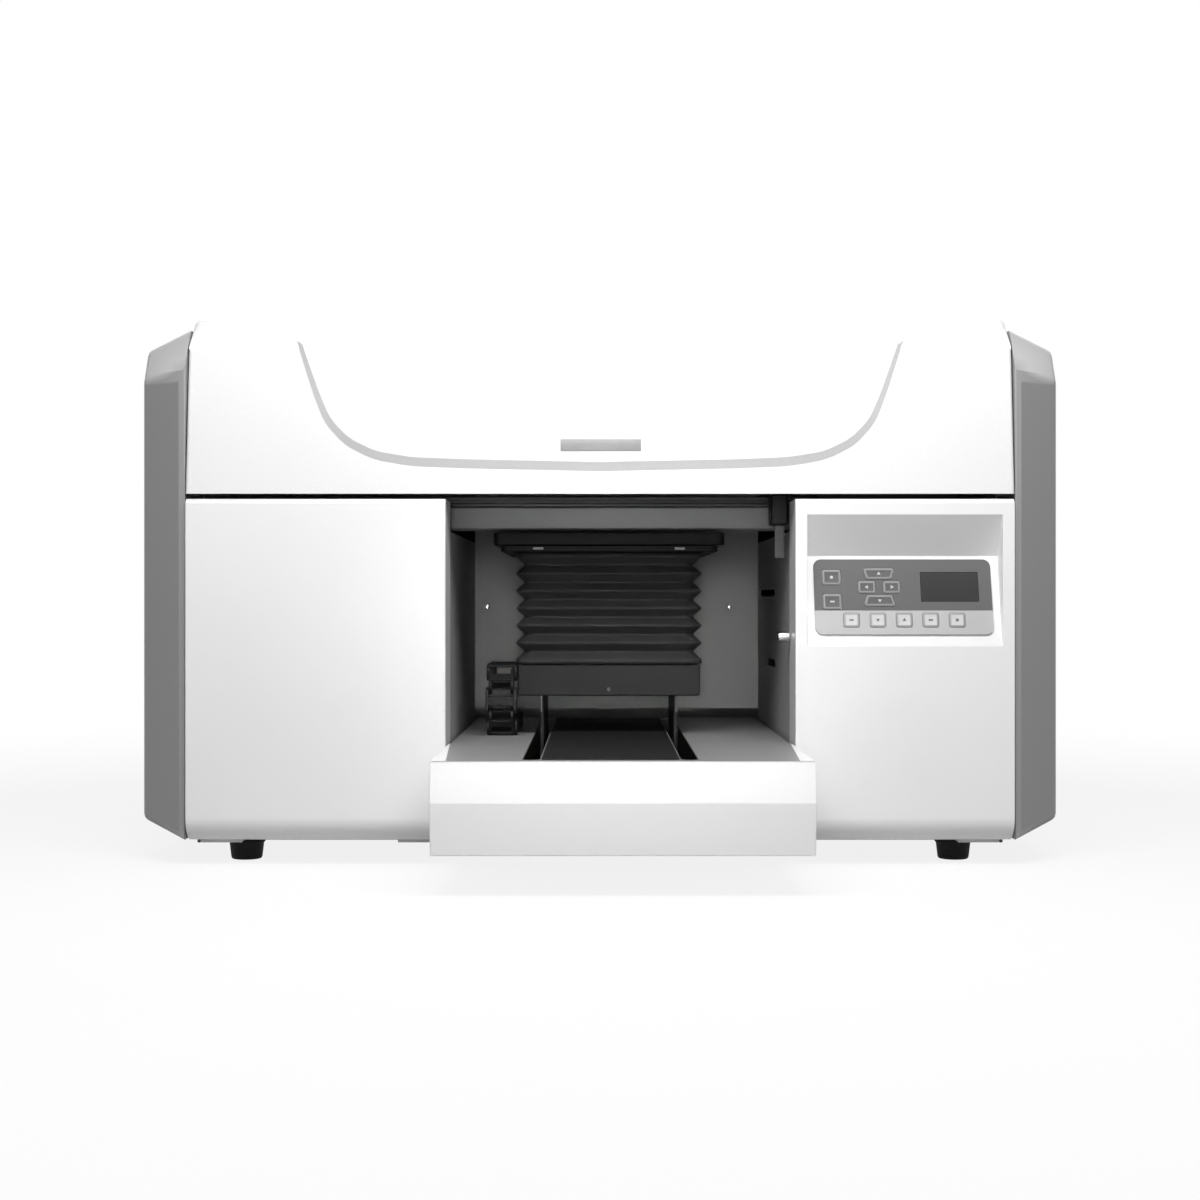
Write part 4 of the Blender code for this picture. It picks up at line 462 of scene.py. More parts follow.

# Lift carriage and base: a saddle below the floor with two legs that pass up through the slots.
# They carry a dark cast box with sleeves for the guide posts, and one bolt shows on its front.
# A thin pale strip up the outer front edge of each leg is a painted highlight on that edge.
BASE_BOLT_RISE, BASE_BOLT_RADIUS, BASE_BOLT_HEIGHT = 0.007, 0.0024, 0.0014
LEG_HIGHLIGHT, LEG_HIGHLIGHT_EDGE = (0.0022, 0.0006, 0.0180), 0.0002
casting = coated("dark casting", 43, (0.5, 0.64), 6, tooth=700.0, relief=0.2, Specular_IOR_Level=0.15)
dress("y_carriage", casting, edge=0.0008)
dress("lift_base", casting, edge=0.0010)
low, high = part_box("lift_base")
bolt_spots = [((low.x + high.x) / 2, low.y, low.z + BASE_BOLT_RISE)]
base_bolt = screw_heads(bolt_spots, (0, -1, 0), BASE_BOLT_RADIUS, BASE_BOLT_HEIGHT)
show("lift_base_bolt", base_bolt, black_bolt, "lift")
# Pale strips on the legs' outer front edges: painted highlight for the light those edges catch.
leg_edge_highlight = coated("painted leg edge highlight", 150, (0.36, 0.5), 12, mottle=80.0, Specular_IOR_Level=0.5)
leg_low, leg_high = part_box("y_carriage")
strip_y, strip_z = leg_low.y - LEG_HIGHLIGHT[1] / 2, leg_high.z - LEG_HIGHLIGHT[2] / 2
leg_points = frame["nodes"]["y_carriage"].data.vertices
leg_corners = [v.co.x for v in leg_points if v.co.z > leg_high.z - LEG_HIGHLIGHT[2]]
strips = bmesh.new()
for x in (min(leg_corners) + LEG_HIGHLIGHT[0] / 2, max(leg_corners) - LEG_HIGHLIGHT[0] / 2):
    gather(strips, block(LEG_HIGHLIGHT, (x, strip_y, strip_z), LEG_HIGHLIGHT_EDGE))
show("leg_edge_highlights", strips, leg_edge_highlight, "lift")

# Bellows: coated cloth folded over stiff strips into square pleats, clamped at both ends.
# It hides the lift screw; on the machine it folds flat as the table sinks, and here it keeps one shape.
BELLOWS_PLEATS, PLEAT_DEPTH = 6, 0.0085
BELLOWS_CORNER, BELLOWS_COLLAR, BELLOWS_CLOTH, BELLOWS_KEEP = 0.012, 0.0036, 0.0012, 0.494
PLEAT_STEPS = [(0.05, 0.03), (0.14, 0.24), (0.25, 0.47), (0.37, 0.76), (0.46, 0.97), (0.5, 1.0),
               (0.54, 0.97), (0.63, 0.76), (0.75, 0.47), (0.86, 0.24), (0.95, 0.03), (1.0, 0.0)]
CLOTH_BLACK, CLOTH_DUSTY, DUST_SCALE = 44, 56, 30.0
WEAVE_SCALES, WEAVE_WANDER = {"DIAGONAL": 260.0, "Z": 320.0}, 0.4


def make_bellows():
    """Folds a wall up from a rounded square, one ring of edges at a time."""
    low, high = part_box("bellows")
    middle = (low + high) / 2
    half = (high - low) / 2
    bm = bmesh.new()
    bmesh.ops.create_grid(bm, x_segments=1, y_segments=1, size=1)
    bmesh.ops.scale(bm, vec=(half.x, half.y, 1), verts=bm.verts)
    round_off(bm, bm.verts[:], BELLOWS_CORNER, 8, "VERTICES")
    bmesh.ops.translate(bm, vec=(middle.x, middle.y, low.z), verts=bm.verts)
    ring = bm.edges[:]
    bmesh.ops.delete(bm, geom=bm.faces[:], context="FACES_ONLY")
    start = low.z + BELLOWS_COLLAR
    pitch = (high.z - BELLOWS_COLLAR - start) / BELLOWS_PLEATS
    levels = [(start, 0.0)]
    for pleat in range(BELLOWS_PLEATS):
        levels += [(start + pitch * (pleat + share), reach) for share, reach in PLEAT_STEPS]
    levels.append((high.z, 0.0))
    height, inset = low.z, 0.0
    for z, reach in levels:
        lifted = bmesh.ops.extrude_edge_only(bm, edges=ring)["geom"]
        ring = [g for g in lifted if isinstance(g, bmesh.types.BMEdge)]
        verts = points_in(lifted)
        bmesh.ops.translate(bm, vec=(0, 0, z - height), verts=verts)
        pulled = reach * PLEAT_DEPTH
        grow = ((half.x - pulled) / (half.x - inset), (half.y - pulled) / (half.y - inset), 1)
        bmesh.ops.scale(bm, vec=grow, space=Matrix.Translation((-middle.x, -middle.y, 0)), verts=verts)
        height, inset = z, pulled
    bmesh.ops.recalc_face_normals(bm, faces=bm.faces)
    return bm, (middle.x, middle.y, low.z)


def make_cloth():
    """Black coated cloth: a fine plain weave in the relief, dustier where it is slow to wipe."""
    material, tree, shader = new_finish("bellows cloth")
    place = add_node(tree, "TexCoord").outputs["Object"]
    threads = []
    for way, scale in WEAVE_SCALES.items():
        sockets = {"Vector": place, "Scale": scale, "Distortion": WEAVE_WANDER}
        threads.append(add_node(tree, "TexWave", sockets, wave_type="BANDS", bands_direction=way))
    crossed = {i: thread.outputs["Fac"] for i, thread in enumerate(threads)}
    weave = add_node(tree, "Math", crossed, operation="MULTIPLY").outputs[0]
    dust = noise(tree, place, DUST_SCALE, 5.0)
    bump = add_node(tree, "Bump", {"Strength": 0.25, "Distance": 0.0003, "Height": weave})
    set_sockets(shader, {"Base Color": mix_colours(tree, dust, grey(CLOTH_BLACK), grey(CLOTH_DUSTY)),
                         "Roughness": ramp(tree, weave, 0.0, 1.0, 0.5, 0.68),
                         "Specular IOR Level": 0.14, "Normal": bump.outputs["Normal"]})
    return material


bellows_form, bellows_foot = make_bellows()
bellows = show("bellows_cloth", bellows_form, make_cloth(), "lift", ("bellows",))
cloth_wall = bellows.modifiers.new("cloth thickness", "SOLIDIFY")
cloth_wall.thickness = BELLOWS_CLOTH
cloth_wall.offset = -1
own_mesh(bellows)

# Lift screw, carrier and platen: the screw turns in a nut under the carrier, which two posts guide.
# The platen is a thick black anodised plate, held to the carrier by two satin clips at the front.
PLATEN_CLIP, PLATEN_CLIP_EDGE, PLATEN_CLIP_REACH = (0.0110, 0.0014, 0.0030), 0.0006, 0.074
dress("z_screw", screw_thread, edge=0.0004, segments=2)
anodised = coated("black anodising", 18, (0.4, 0.54), 4, Specular_IOR_Level=0.06)
dress("platen_carrier", anodised, edge=0.0005, segments=2)
dress("platen", anodised, edge=0.0008)
low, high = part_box("platen_carrier")
satin_steel = brushed("satin steel", 118, (0.4, 0.55), (80, 500, 500))
clips = bmesh.new()
for side in (-1, 1):
    clip_x = (low.x + high.x) / 2 + side * PLATEN_CLIP_REACH
    spot = (clip_x, low.y - PLATEN_CLIP[1] / 2, high.z - PLATEN_CLIP[2])
    gather(clips, block(PLATEN_CLIP, spot, PLATEN_CLIP_EDGE, 3))
show("platen_clips", clips, satin_steel, "table")

# Cable chain: black moulded links that snap together, with two side plates and two bars in each.
# It turns back on itself in front of the lift and is fixed at both ends.
CHAIN_LINKS, CHAIN_BAND, CHAIN_TOP_RUN = 16, 0.017, 0.095
LINK_PLATE, LINK_LAP, LINK_ROUND = 0.003, 1.3, 0.0065
LINK_INSETS = (0.0047, 0.0015)  # every second link goes inside its neighbours
LINK_BAR, LINK_BAR_SHARE, LINK_BAR_EDGE = 0.0024, 0.42, 0.0005
LINK_BAR_DROP, LINK_BAR_LAP = 0.0016, 0.002


def chain_path(low, high):
    """Places and turns of the links: to the front along the floor, round the bend, and back along the top."""
    radius = (high.z - low.z - CHAIN_BAND) / 2
    bend_y = low.y + radius + CHAIN_BAND / 2
    bend_z = (low.z + high.z) / 2
    lower = high.y - bend_y
    arc = math.pi * radius
    pitch = (lower + arc + CHAIN_TOP_RUN) / CHAIN_LINKS
    places = []
    for i in range(CHAIN_LINKS):
        run = pitch * (i + 0.5)
        if run < lower:
            places.append((high.y - run, bend_z - radius, math.pi))
        elif run < lower + arc:
            angle = (run - lower) / radius
            y, z = bend_y - radius * math.sin(angle), bend_z - radius * math.cos(angle)
            places.append((y, z, math.pi - angle))
        else:
            places.append((bend_y + run - lower - arc, bend_z + radius, 0.0))
    return places, pitch


low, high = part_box("cable_chain")
links, pitch = chain_path(low, high)
chain_x, half_width = (low.x + high.x) / 2, (high.x - low.x) / 2
chain = bmesh.new()
for i, (y, z, angle) in enumerate(links):
    reach = half_width - LINK_INSETS[i % 2]
    link = bmesh.new()
    for side in (-1, 1):
        plate = block((LINK_PLATE, pitch * LINK_LAP, CHAIN_BAND), (0, 0, 0), 0)
        corners = [e for e in plate.edges if abs(e.verts[0].co.x - e.verts[1].co.x) > LINK_PLATE / 2]
        round_off(plate, corners, LINK_ROUND, 5)
        bmesh.ops.translate(plate, vec=(side * reach, 0, 0), verts=plate.verts)
        gather(link, plate)
    for side in (-1, 1):
        bar = (2 * reach - LINK_BAR_LAP, pitch * LINK_BAR_SHARE, LINK_BAR)
        gather(link, block(bar, (0, 0, side * (CHAIN_BAND / 2 - LINK_BAR_DROP)), LINK_BAR_EDGE))
    place = Matrix.Translation((chain_x, y, z)) @ Matrix.Rotation(angle, 4, "X")
    bmesh.ops.transform(link, matrix=place, verts=link.verts)
    gather(chain, link)
show("cable_chain_links", chain, black_moulding, "lift", ("cable_chain",),
     edge=0.0004, segments=2)

# Gantry: a drawn aluminium beam across the machine, anodised grey, with a ground rail on top.
# The belt runs along its back, round two pulleys, and a small motor drives one of them.
beam_anodised = coated("grey anodising", 107, (0.36, 0.48), 5, Specular_IOR_Level=0.5)
dress("gantry_beam", beam_anodised, edge=0.0006, segments=2)
rail_steel = brushed("blackened rail", 84, (0.34, 0.46), (4, 60, 60))
dress("x_rail", rail_steel, edge=0.0005, segments=2)
belt_rubber = coated("belt rubber", 30, (0.6, 0.75), 4, tooth=600.0, relief=0.25, Specular_IOR_Level=0.15)
dress("x_belt", belt_rubber, edge=0.0003, segments=2)
for node in ("x_drive_pulley", "x_idler_pulley"):
    dress(node, plated, edge=0.0003, segments=2)
dress("x_motor", motor_coat, edge=0.0008)

# Height sensor: a black block on the beam with a thin feeler blade hanging from it.
# The blade stops the bed before tall work reaches the print head.
BLADE_TOP = 0.3445
spring_steel = coated("feeler steel", 104, (0.34, 0.48), 8, Specular_IOR_Level=0.3)
sensor = node_form("height_sensor")
for face in sensor.faces:
    if face.calc_center_median().z < BLADE_TOP:
        face.material_index = 1
show("height_sensor_finished", sensor, [black_moulding, spring_steel], "chassis",
     ("height_sensor",), edge=0.0005, segments=2)

# Print carriage and head: a moulded black housing that runs on the rail, with a steel nozzle plate below.
# It parks at the right over a capping station.
carriage_black = coated("carriage black", 44, (0.36, 0.5), 5, Specular_IOR_Level=0.25)
dress("print_carriage", carriage_black, edge=0.0022)
dress("print_head", ground_steel, edge=0.0005, segments=2)
dress("service_station", black_moulding, edge=0.0010)

# Ink tank: a blow-moulded translucent body with four filler necks, standing on the base pan.
# A ribbed black cap screws on each neck.
TANK_CHAMBERS = 4
CAP_RADIUS, CAP_FOOT, CAP_RISE, CAP_RIBS = 0.0142, 0.013, 0.0035, 24
CAP_GROOVE, CAP_LIP, CAP_RIM, CAP_DISH = 0.955, 0.0012, 0.003, 0.0008
tank_milk = coated("milky tank", 214, (0.3, 0.42), 6, Subsurface_Weight=0.1)
dress("ink_tank", tank_milk, edge=0.0025)
cap_colour = coated("filler caps", 52, (0.4, 0.55), 6, Specular_IOR_Level=0.3)
low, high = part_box("ink_tank")
caps = bmesh.new()
for i in range(TANK_CHAMBERS):
    cap = bmesh.new()
    bmesh.ops.create_cone(cap, cap_ends=True, segments=2 * CAP_RIBS, radius1=CAP_RADIUS, radius2=CAP_RADIUS,
                          depth=CAP_FOOT + CAP_RISE)
    round_about = sorted(cap.verts, key=lambda v: math.atan2(v.co.y, v.co.x))
    grooves = [v for j, v in enumerate(round_about) if j // 2 % 2]
    bmesh.ops.scale(cap, vec=(CAP_GROOVE, CAP_GROOVE, 1), verts=grooves)
    lip = [e for e in cap.edges if all(v.co.z > 0 for v in e.verts)]
    round_off(cap, lip, CAP_LIP, 2)
    top = max(cap.faces, key=lambda f: f.calc_center_median().z)
    bmesh.ops.inset_individual(cap, faces=[top], thickness=CAP_RIM)
    bmesh.ops.translate(cap, vec=(0, 0, -CAP_DISH), verts=top.verts)
    x = low.x + (high.x - low.x) * (i + 0.5) / TANK_CHAMBERS
    middle = (x, (low.y + high.y) / 2, high.z + (CAP_RISE - CAP_FOOT) / 2)
    bmesh.ops.translate(cap, vec=middle, verts=cap.verts)
    gather(caps, cap)
show("filler_caps", caps, cap_colour, "chassis")

# Front panels: pressed steel, coated white, rolled under at the foot.
# The right one has a sloped recess for the keypad.
white_coat = coated("white powder coat", 247, (0.34, 0.46), 2, relief=0.08, Specular_IOR_Level=0.5)
dress("left_front_panel", white_coat, edge=0.0010, crease=16)
dress("right_front_panel", white_coat, edge=0.0007, crease=16)

# Keypad: a printed film over the recess's sloped face, dark above and pale along the lower row.
# Keys, display and symbols sit on it; each key is a dome under the film.
KEYPAD_LEAN = math.atan2(0.2941, 0.9558)
ZONE_Z = 0.2568
FILM_PALE, FILM_PALE_SHADE, FILM_DARK = 194, 188, 100
KEY_RIM, KEY_SINK = 0.0017, 0.00015
MARK_RADIUS, DOT_RADIUS, BAR_SHARE, MARK_THICKNESS = 0.0022, 0.0016, 0.4, 0.00012
ARROW_TURNS = {"up": 0, "down": 180, "left": 90, "right": -90}
KEY_MARKS = {"key_up": "up", "key_down": "down", "key_left": "left", "key_right": "right",
             "key_side_upper": "dot", "key_side_lower": "bar", "key_row_1": "bar", "key_row_2": "down",
             "key_row_3": "up", "key_row_4": "bar", "key_row_5": "dot"}
outward = Vector((0, -math.cos(KEYPAD_LEAN), math.sin(KEYPAD_LEAN)))
upward = Vector((0, math.sin(KEYPAD_LEAN), math.cos(KEYPAD_LEAN)))


def make_film():
    """The film's two printed zones, split at one height."""
    material, tree, shader = new_finish("keypad film")
    place = add_node(tree, "TexCoord").outputs["Object"]
    height = add_node(tree, "SeparateXYZ", {"Vector": place}).outputs["Z"]
    upper = add_node(tree, "Math", {0: height, 1: ZONE_Z}, operation="GREATER_THAN").outputs[0]
    sockets = {"Tint": grey(FILM_PALE), "Shade": grey(FILM_PALE_SHADE), "Mottle Scale": 20.0,
               "Tooth Scale": 1500.0, "Smoothest": 0.34, "Roughest": 0.46}
    grain = add_node(tree, "Group", sockets, node_tree=coat_grain).outputs
    set_sockets(shader, {"Base Color": mix_colours(tree, upper, grain["Color"], grey(FILM_DARK)),
                         "Roughness": grain["Roughness"], "Specular IOR Level": 0.2})
    return material


def key_symbol(kind, centre):
    """A small printed mark: a triangle that points one way, a bar, or a dot."""
    bm = bmesh.new()
    if kind in ARROW_TURNS:
        bmesh.ops.create_circle(bm, cap_ends=True, segments=3, radius=MARK_RADIUS,
                                matrix=Matrix.Rotation(math.radians(ARROW_TURNS[kind]), 4, "Z"))
    elif kind == "bar":
        bmesh.ops.create_grid(bm, x_segments=1, y_segments=1, size=MARK_RADIUS)
        bmesh.ops.scale(bm, vec=(1, BAR_SHARE, 1), verts=bm.verts)
    else:
        bmesh.ops.create_circle(bm, cap_ends=True, segments=16, radius=DOT_RADIUS)
    thicken(bm, bm.faces[:], (0, 0, MARK_THICKNESS))
    lean = Matrix((Vector((1, 0, 0)), upward, outward)).transposed().to_4x4()
    bmesh.ops.transform(bm, matrix=Matrix.Translation(centre) @ lean, verts=bm.verts)
    return bm


dress("keypad_membrane", make_film(), edge=0)
display_glass = coated("display window", 55, (0.12, 0.2), 4, relief=0.02, Specular_IOR_Level=0.2)
dress("display_window", display_glass, edge=0)
key_rim_dark = coated("key rim on the dark zone", 150, (0.36, 0.48), 3, Specular_IOR_Level=0.2)
key_face_dark = coated("key face on the dark zone", 96, (0.36, 0.48), 3, Specular_IOR_Level=0.2)
key_rim_pale = coated("key rim on the pale zone", 160, (0.36, 0.48), 3)
key_face_pale = coated("key face on the pale zone", 206, (0.36, 0.48), 3)
light_print = coated("light print", 200, (0.4, 0.5), 3)
dark_print = coated("dark print", 96, (0.4, 0.5), 3)
for node, mark in KEY_MARKS.items():
    key = node_form(node)
    face = max(key.faces, key=lambda f: f.calc_center_median().dot(outward))
    bmesh.ops.inset_region(key, faces=[face], thickness=KEY_RIM, use_even_offset=True)
    face.material_index = 1
    bmesh.ops.translate(key, vec=-outward * KEY_SINK, verts=face.verts)
    centre = face.calc_center_median()
    pale = node.startswith("key_row")
    finishes = [key_rim_pale, key_face_pale] if pale else [key_rim_dark, key_face_dark]
    show(node + "_cap", key, finishes, node, (node,))
    show(node + "_mark", key_symbol(mark, centre), dark_print if pale else light_print, node)

# Indicator: one small clear lens of moulded plastic, right of the key row.
# It is pressed into a hole in the film's pale zone and stands just proud of it.
INDICATOR_X, INDICATOR_Z, INDICATOR_SINK = 0.3813, 0.2457, 0.0001
film_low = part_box("keypad_membrane")[0]
film_front = film_low.y + (INDICATOR_Z - film_low.z) * math.tan(KEYPAD_LEAN)
lens_spot = Vector((INDICATOR_X, film_front, INDICATOR_Z)) - outward * INDICATOR_SINK
indicator_clear = coated("indicator lens", 176, (0.12, 0.2), 6, Specular_IOR_Level=0.5)
show("indicator_lens", key_symbol("dot", lens_spot), indicator_clear, "chassis")

# Side covers: vacuum-formed shells with bevelled ends, moulded in a mid grey with a fine texture.
# A narrow rim stands close beside the hood, and pillars inside seat each cover on its side plate.
COVER_RIM, COVER_RIM_LEAN, COVER_GAP = 0.0055, 0.2, 0.001
COVER_EDGE, COVER_STOCK, COVER_SAME_POINT = 0.007, 0.01, 1e-5
COVER_TOP_DROP, COVER_BOTTOM_RISE = 0.016, 0.015
COVER_BROW_Z, COVER_BROW_LEAN = 0.4925, 0.42
# Paler grey painted on the covers' upward faces as painted light from above, and the facing at which it
# starts and is full
COVER_TOP_LIGHT = 214
TOP_LIGHT_START, TOP_LIGHT_FULL, TOP_LIGHT_SHARE = 0.08, 0.26, 0.88


def paint_top_light(material):
    """Paints a moulding paler where it faces upwards: a painted highlight for the light from above."""
    tree = material.node_tree
    shader = tree.nodes["Principled BSDF"]
    plain = shader.inputs["Base Color"].links[0].from_socket
    facing = add_node(tree, "TexCoord").outputs["Normal"]
    rise = add_node(tree, "SeparateXYZ", {"Vector": facing}).outputs["Z"]
    share = ramp(tree, rise, TOP_LIGHT_START, TOP_LIGHT_FULL, 0.0, TOP_LIGHT_SHARE)
    set_sockets(shader, {"Base Color": mix_colours(tree, share, plain, grey(COVER_TOP_LIGHT))})


def slice_off(bm, point, normal):
    """Cuts away what lies beyond a plane and closes the cut."""
    geom = bm.verts[:] + bm.edges[:] + bm.faces[:]
    cut = bmesh.ops.bisect_plane(bm, geom=geom, plane_co=point, plane_no=normal, clear_outer=True)["geom_cut"]
    bmesh.ops.holes_fill(bm, edges=[g for g in cut if isinstance(g, bmesh.types.BMEdge)], sides=0)


def cover_form(node):
    """The right cover's block, sliced to shape and rounded at its outer edges, and mirrored for the left."""
    low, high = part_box(node)
    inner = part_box("hood_shell")[1].x + COVER_GAP
    outer = max(abs(low.x), abs(high.x))
    rim = inner + COVER_RIM
    size = (outer - inner, high.y - low.y + 2 * COVER_STOCK, high.z - low.z + 2 * COVER_STOCK)
    bm = block(size, ((inner + outer) / 2, (low.y + high.y) / 2, (low.z + high.z) / 2), 0)
    slice_off(bm, (inner, 0, high.z), (COVER_TOP_DROP, 0, outer - inner))
    slice_off(bm, (inner, 0, low.z), (COVER_BOTTOM_RISE, 0, inner - outer))
    for y, way in ((low.y, -1), (high.y, 1)):
        slice_off(bm, (rim, y, 0), (1, way, 0))
        slice_off(bm, (rim, y, COVER_BROW_Z), (1, way, math.sqrt(2) * COVER_BROW_LEAN))
        slice_off(bm, (inner, y, 0), (COVER_RIM_LEAN, way, 0))
    bmesh.ops.remove_doubles(bm, verts=bm.verts, dist=COVER_SAME_POINT)
    bmesh.ops.recalc_face_normals(bm, faces=bm.faces)
    edges = [e for e in bm.edges if max(v.co.x for v in e.verts) > inner + COVER_EDGE]
    round_off(bm, edges, COVER_EDGE, 6)
    if low.x < 0:
        bmesh.ops.scale(bm, vec=(-1, 1, 1), verts=bm.verts)
    bmesh.ops.recalc_face_normals(bm, faces=bm.faces)
    return bm


# The covers' brows and tops are painted paler: a painted highlight for the light that falls on them from
# above.
cover_moulding = coated("side cover moulding", 158, (0.42, 0.56), 2, tooth=1100.0, Specular_IOR_Level=0.5)
paint_top_light(cover_moulding)
for node in ("left_side_cover", "right_side_cover"):
    show(node + "_shell", cover_form(node), cover_moulding, "chassis", (node,),
         edge=0.0006, segments=1, crease=60)

# Hood: one large white moulding over the whole top, leaning back at the front.
# It tips up about two pins at the back, and its rear wall is notched round the hinges.
HOOD_WALL, HOOD_EDGE, HOOD_SIDE_EDGE = 0.003, 0.009, 0.0035
HOOD_LEAN, HOOD_SHOULDER, HOOD_REAR_LOW = 0.016, (0.045, 0.027), 0.485
HOOD_FACE_WEIGHT = 90
HINGE = Vector((0.28, 0.4105, 0.505))
HINGE_NOTCH = (0.0245, 0.509)
FACING = 0.99
hood_gloss = coated("hood white", 240, (0.2, 0.3), 2, relief=0.03, Specular_IOR_Level=0.5, Coat_Weight=0.15)


def hood_form():
    """The hood's outer skin, open below and at the back under its rear wall; its wall is added inwards."""
    low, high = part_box("hood_shell")
    shoulder = high.z - HOOD_SHOULDER[1]
    section = [(low.y, low.z), (low.y + HOOD_LEAN, shoulder), (low.y + HOOD_SHOULDER[0], high.z),
               (high.y, high.z), (high.y, low.z)]
    bm = prism([(low.x, y, z) for y, z in section], (high.x - low.x, 0, 0))
    crown = [e for e in bm.edges if min(v.co.z for v in e.verts) > shoulder - HOOD_SIDE_EDGE]
    round_off(bm, crown, HOOD_EDGE, 6)
    sides = [e for e in bm.edges if abs(e.verts[0].co.z - e.verts[1].co.z) > 4 * HOOD_EDGE]
    round_off(bm, sides, HOOD_SIDE_EDGE, 4)
    bmesh.ops.delete(bm, geom=[f for f in bm.faces if f.normal.z < -FACING], context="FACES")
    notch_sides = [side * HINGE.x + way * HINGE_NOTCH[0] for side in (-1, 1) for way in (-1, 1)]
    planes = [((0, 0, HOOD_REAR_LOW), (0, 0, 1)), ((0, 0, HINGE_NOTCH[1]), (0, 0, 1))]
    planes += [((x, 0, 0), (1, 0, 0)) for x in notch_sides]
    for point, normal in planes:
        back = [f for f in bm.faces if f.normal.y > FACING]
        geom = back + list({e for f in back for e in f.edges}) + list({v for f in back for v in f.verts})
        bmesh.ops.bisect_plane(bm, geom=geom, plane_co=point, plane_no=normal)
    opened = []
    for face in bm.faces:
        middle = face.calc_center_median()
        in_notch = middle.z < HINGE_NOTCH[1] and abs(abs(middle.x) - HINGE.x) < HINGE_NOTCH[0]
        if face.normal.y > FACING and (middle.z < HOOD_REAR_LOW or in_notch):
            opened.append(face)
    bmesh.ops.delete(bm, geom=opened, context="FACES")
    return bm


hood = show("hood_cover", hood_form(), hood_gloss, "hood", ("hood_shell",), crease=60)
hood_wall = hood.modifiers.new("moulded wall", "SOLIDIFY")
hood_wall.thickness = HOOD_WALL
hood_wall.offset = -1
hood_wall.use_even_offset = True
hood.modifiers.new("flat faces stay flat", "WEIGHTED_NORMAL").weight = HOOD_FACE_WEIGHT

# Hood shield: a raised field on the hood's front with bowed sides and a shallow bottom.
# It is moulded in one with the hood, and its edge is a steep slope that narrows towards the shoulder.
SHIELD_CURVE = [(0.0, 0.3963), (0.1310, 0.3990), (0.1891, 0.4013), (0.2267, 0.4078), (0.2558, 0.4224),
                (0.2764, 0.4452), (0.2879, 0.4742), (0.2990, 0.5080), (0.3055, 0.5288)]
SHIELD_PROUD, SHIELD_TOP_PROUD = 0.0056, 0.0050
SHIELD_SLOPE, SHIELD_TOP_SLOPE = 0.0087, 0.5
SHIELD_ROUND, SHIELD_ROOT = 0.0095, 0.0010


def shield_form():
    """Draws the field on the leaning face, lifts what lies inside its slope, and closes it behind."""
    low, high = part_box("hood_shell")
    shoulder = high.z - HOOD_SHOULDER[1]
    lean = math.atan2(HOOD_LEAN, shoulder - low.z)
    out = Vector((0, -math.cos(lean), math.sin(lean)))
    foot = SHIELD_CURVE[0][1]

    def on_face(x, z):
        return Vector((x, low.y + HOOD_LEAN * (z - low.z) / (shoulder - low.z), z))

    bm = bmesh.new()
    outline = SHIELD_CURVE + [(-x, z) for x, z in reversed(SHIELD_CURVE[1:])]
    field = bm.faces.new([bm.verts.new(on_face(x, z)) for x, z in outline])
    bends = [v for v in field.verts if v.co.z < SHIELD_CURVE[-1][1] - SHIELD_ROUND]
    round_off(bm, bends, SHIELD_ROUND, 5, "VERTICES")
    bm.normal_update()
    if bm.faces[:][0].normal.y > 0:
        bmesh.ops.reverse_faces(bm, faces=bm.faces[:])
    field = bm.faces[:][0]
    bmesh.ops.inset_region(bm, faces=[field], thickness=SHIELD_SLOPE, use_even_offset=True, use_boundary=True)
    crest = set(field.edges)
    for v in field.verts:
        share = (shoulder - v.co.z) / (shoulder - foot)
        base = next(e.other_vert(v) for e in v.link_edges if e not in crest).co
        v.co = base.lerp(v.co, SHIELD_TOP_SLOPE + (1 - SHIELD_TOP_SLOPE) * share)
        v.co += out * (SHIELD_TOP_PROUD + (SHIELD_PROUD - SHIELD_TOP_PROUD) * share)
    rim = [e for e in bm.edges if e.is_boundary]
    sunk = bmesh.ops.extrude_edge_only(bm, edges=rim)["geom"]
    bmesh.ops.translate(bm, vec=-out * SHIELD_ROOT, verts=points_in(sunk))
    bmesh.ops.holes_fill(bm, edges=[e for e in bm.edges if e.is_boundary], sides=0)
    bmesh.ops.recalc_face_normals(bm, faces=bm.faces)
    return bm, out, lean


shield, hood_out, hood_lean = shield_form()
show("hood_shield", shield, hood_gloss, "hood", crease=6)

# Hood strip: a bare grey bar of brushed plastic with eased edges.
# It is stuck to the shield just above its lower edge, and leans with the hood's front.
STRIP, STRIP_EDGE = (0.0805, 0.0120, 0.0012), 0.0004
STRIP_X, STRIP_Z = 0.0008, 0.4217
strip_grey = coated("strip grey", 158, (0.3, 0.4), 6, mottle=60.0)
hood_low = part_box("hood_shell")[0]
strip_y = hood_low.y + math.tan(hood_lean) * (STRIP_Z - hood_low.z)
strip_place = Matrix.Translation(Vector((STRIP_X, strip_y, STRIP_Z)) + hood_out * SHIELD_PROUD)
strip = block(STRIP, (0, 0, 0), STRIP_EDGE)
strip_turn = Matrix.Rotation(math.pi / 2 - hood_lean, 4, "X")
bmesh.ops.transform(strip, matrix=strip_place @ strip_turn, verts=strip.verts)
show("hood_strip", strip, strip_grey, "hood")

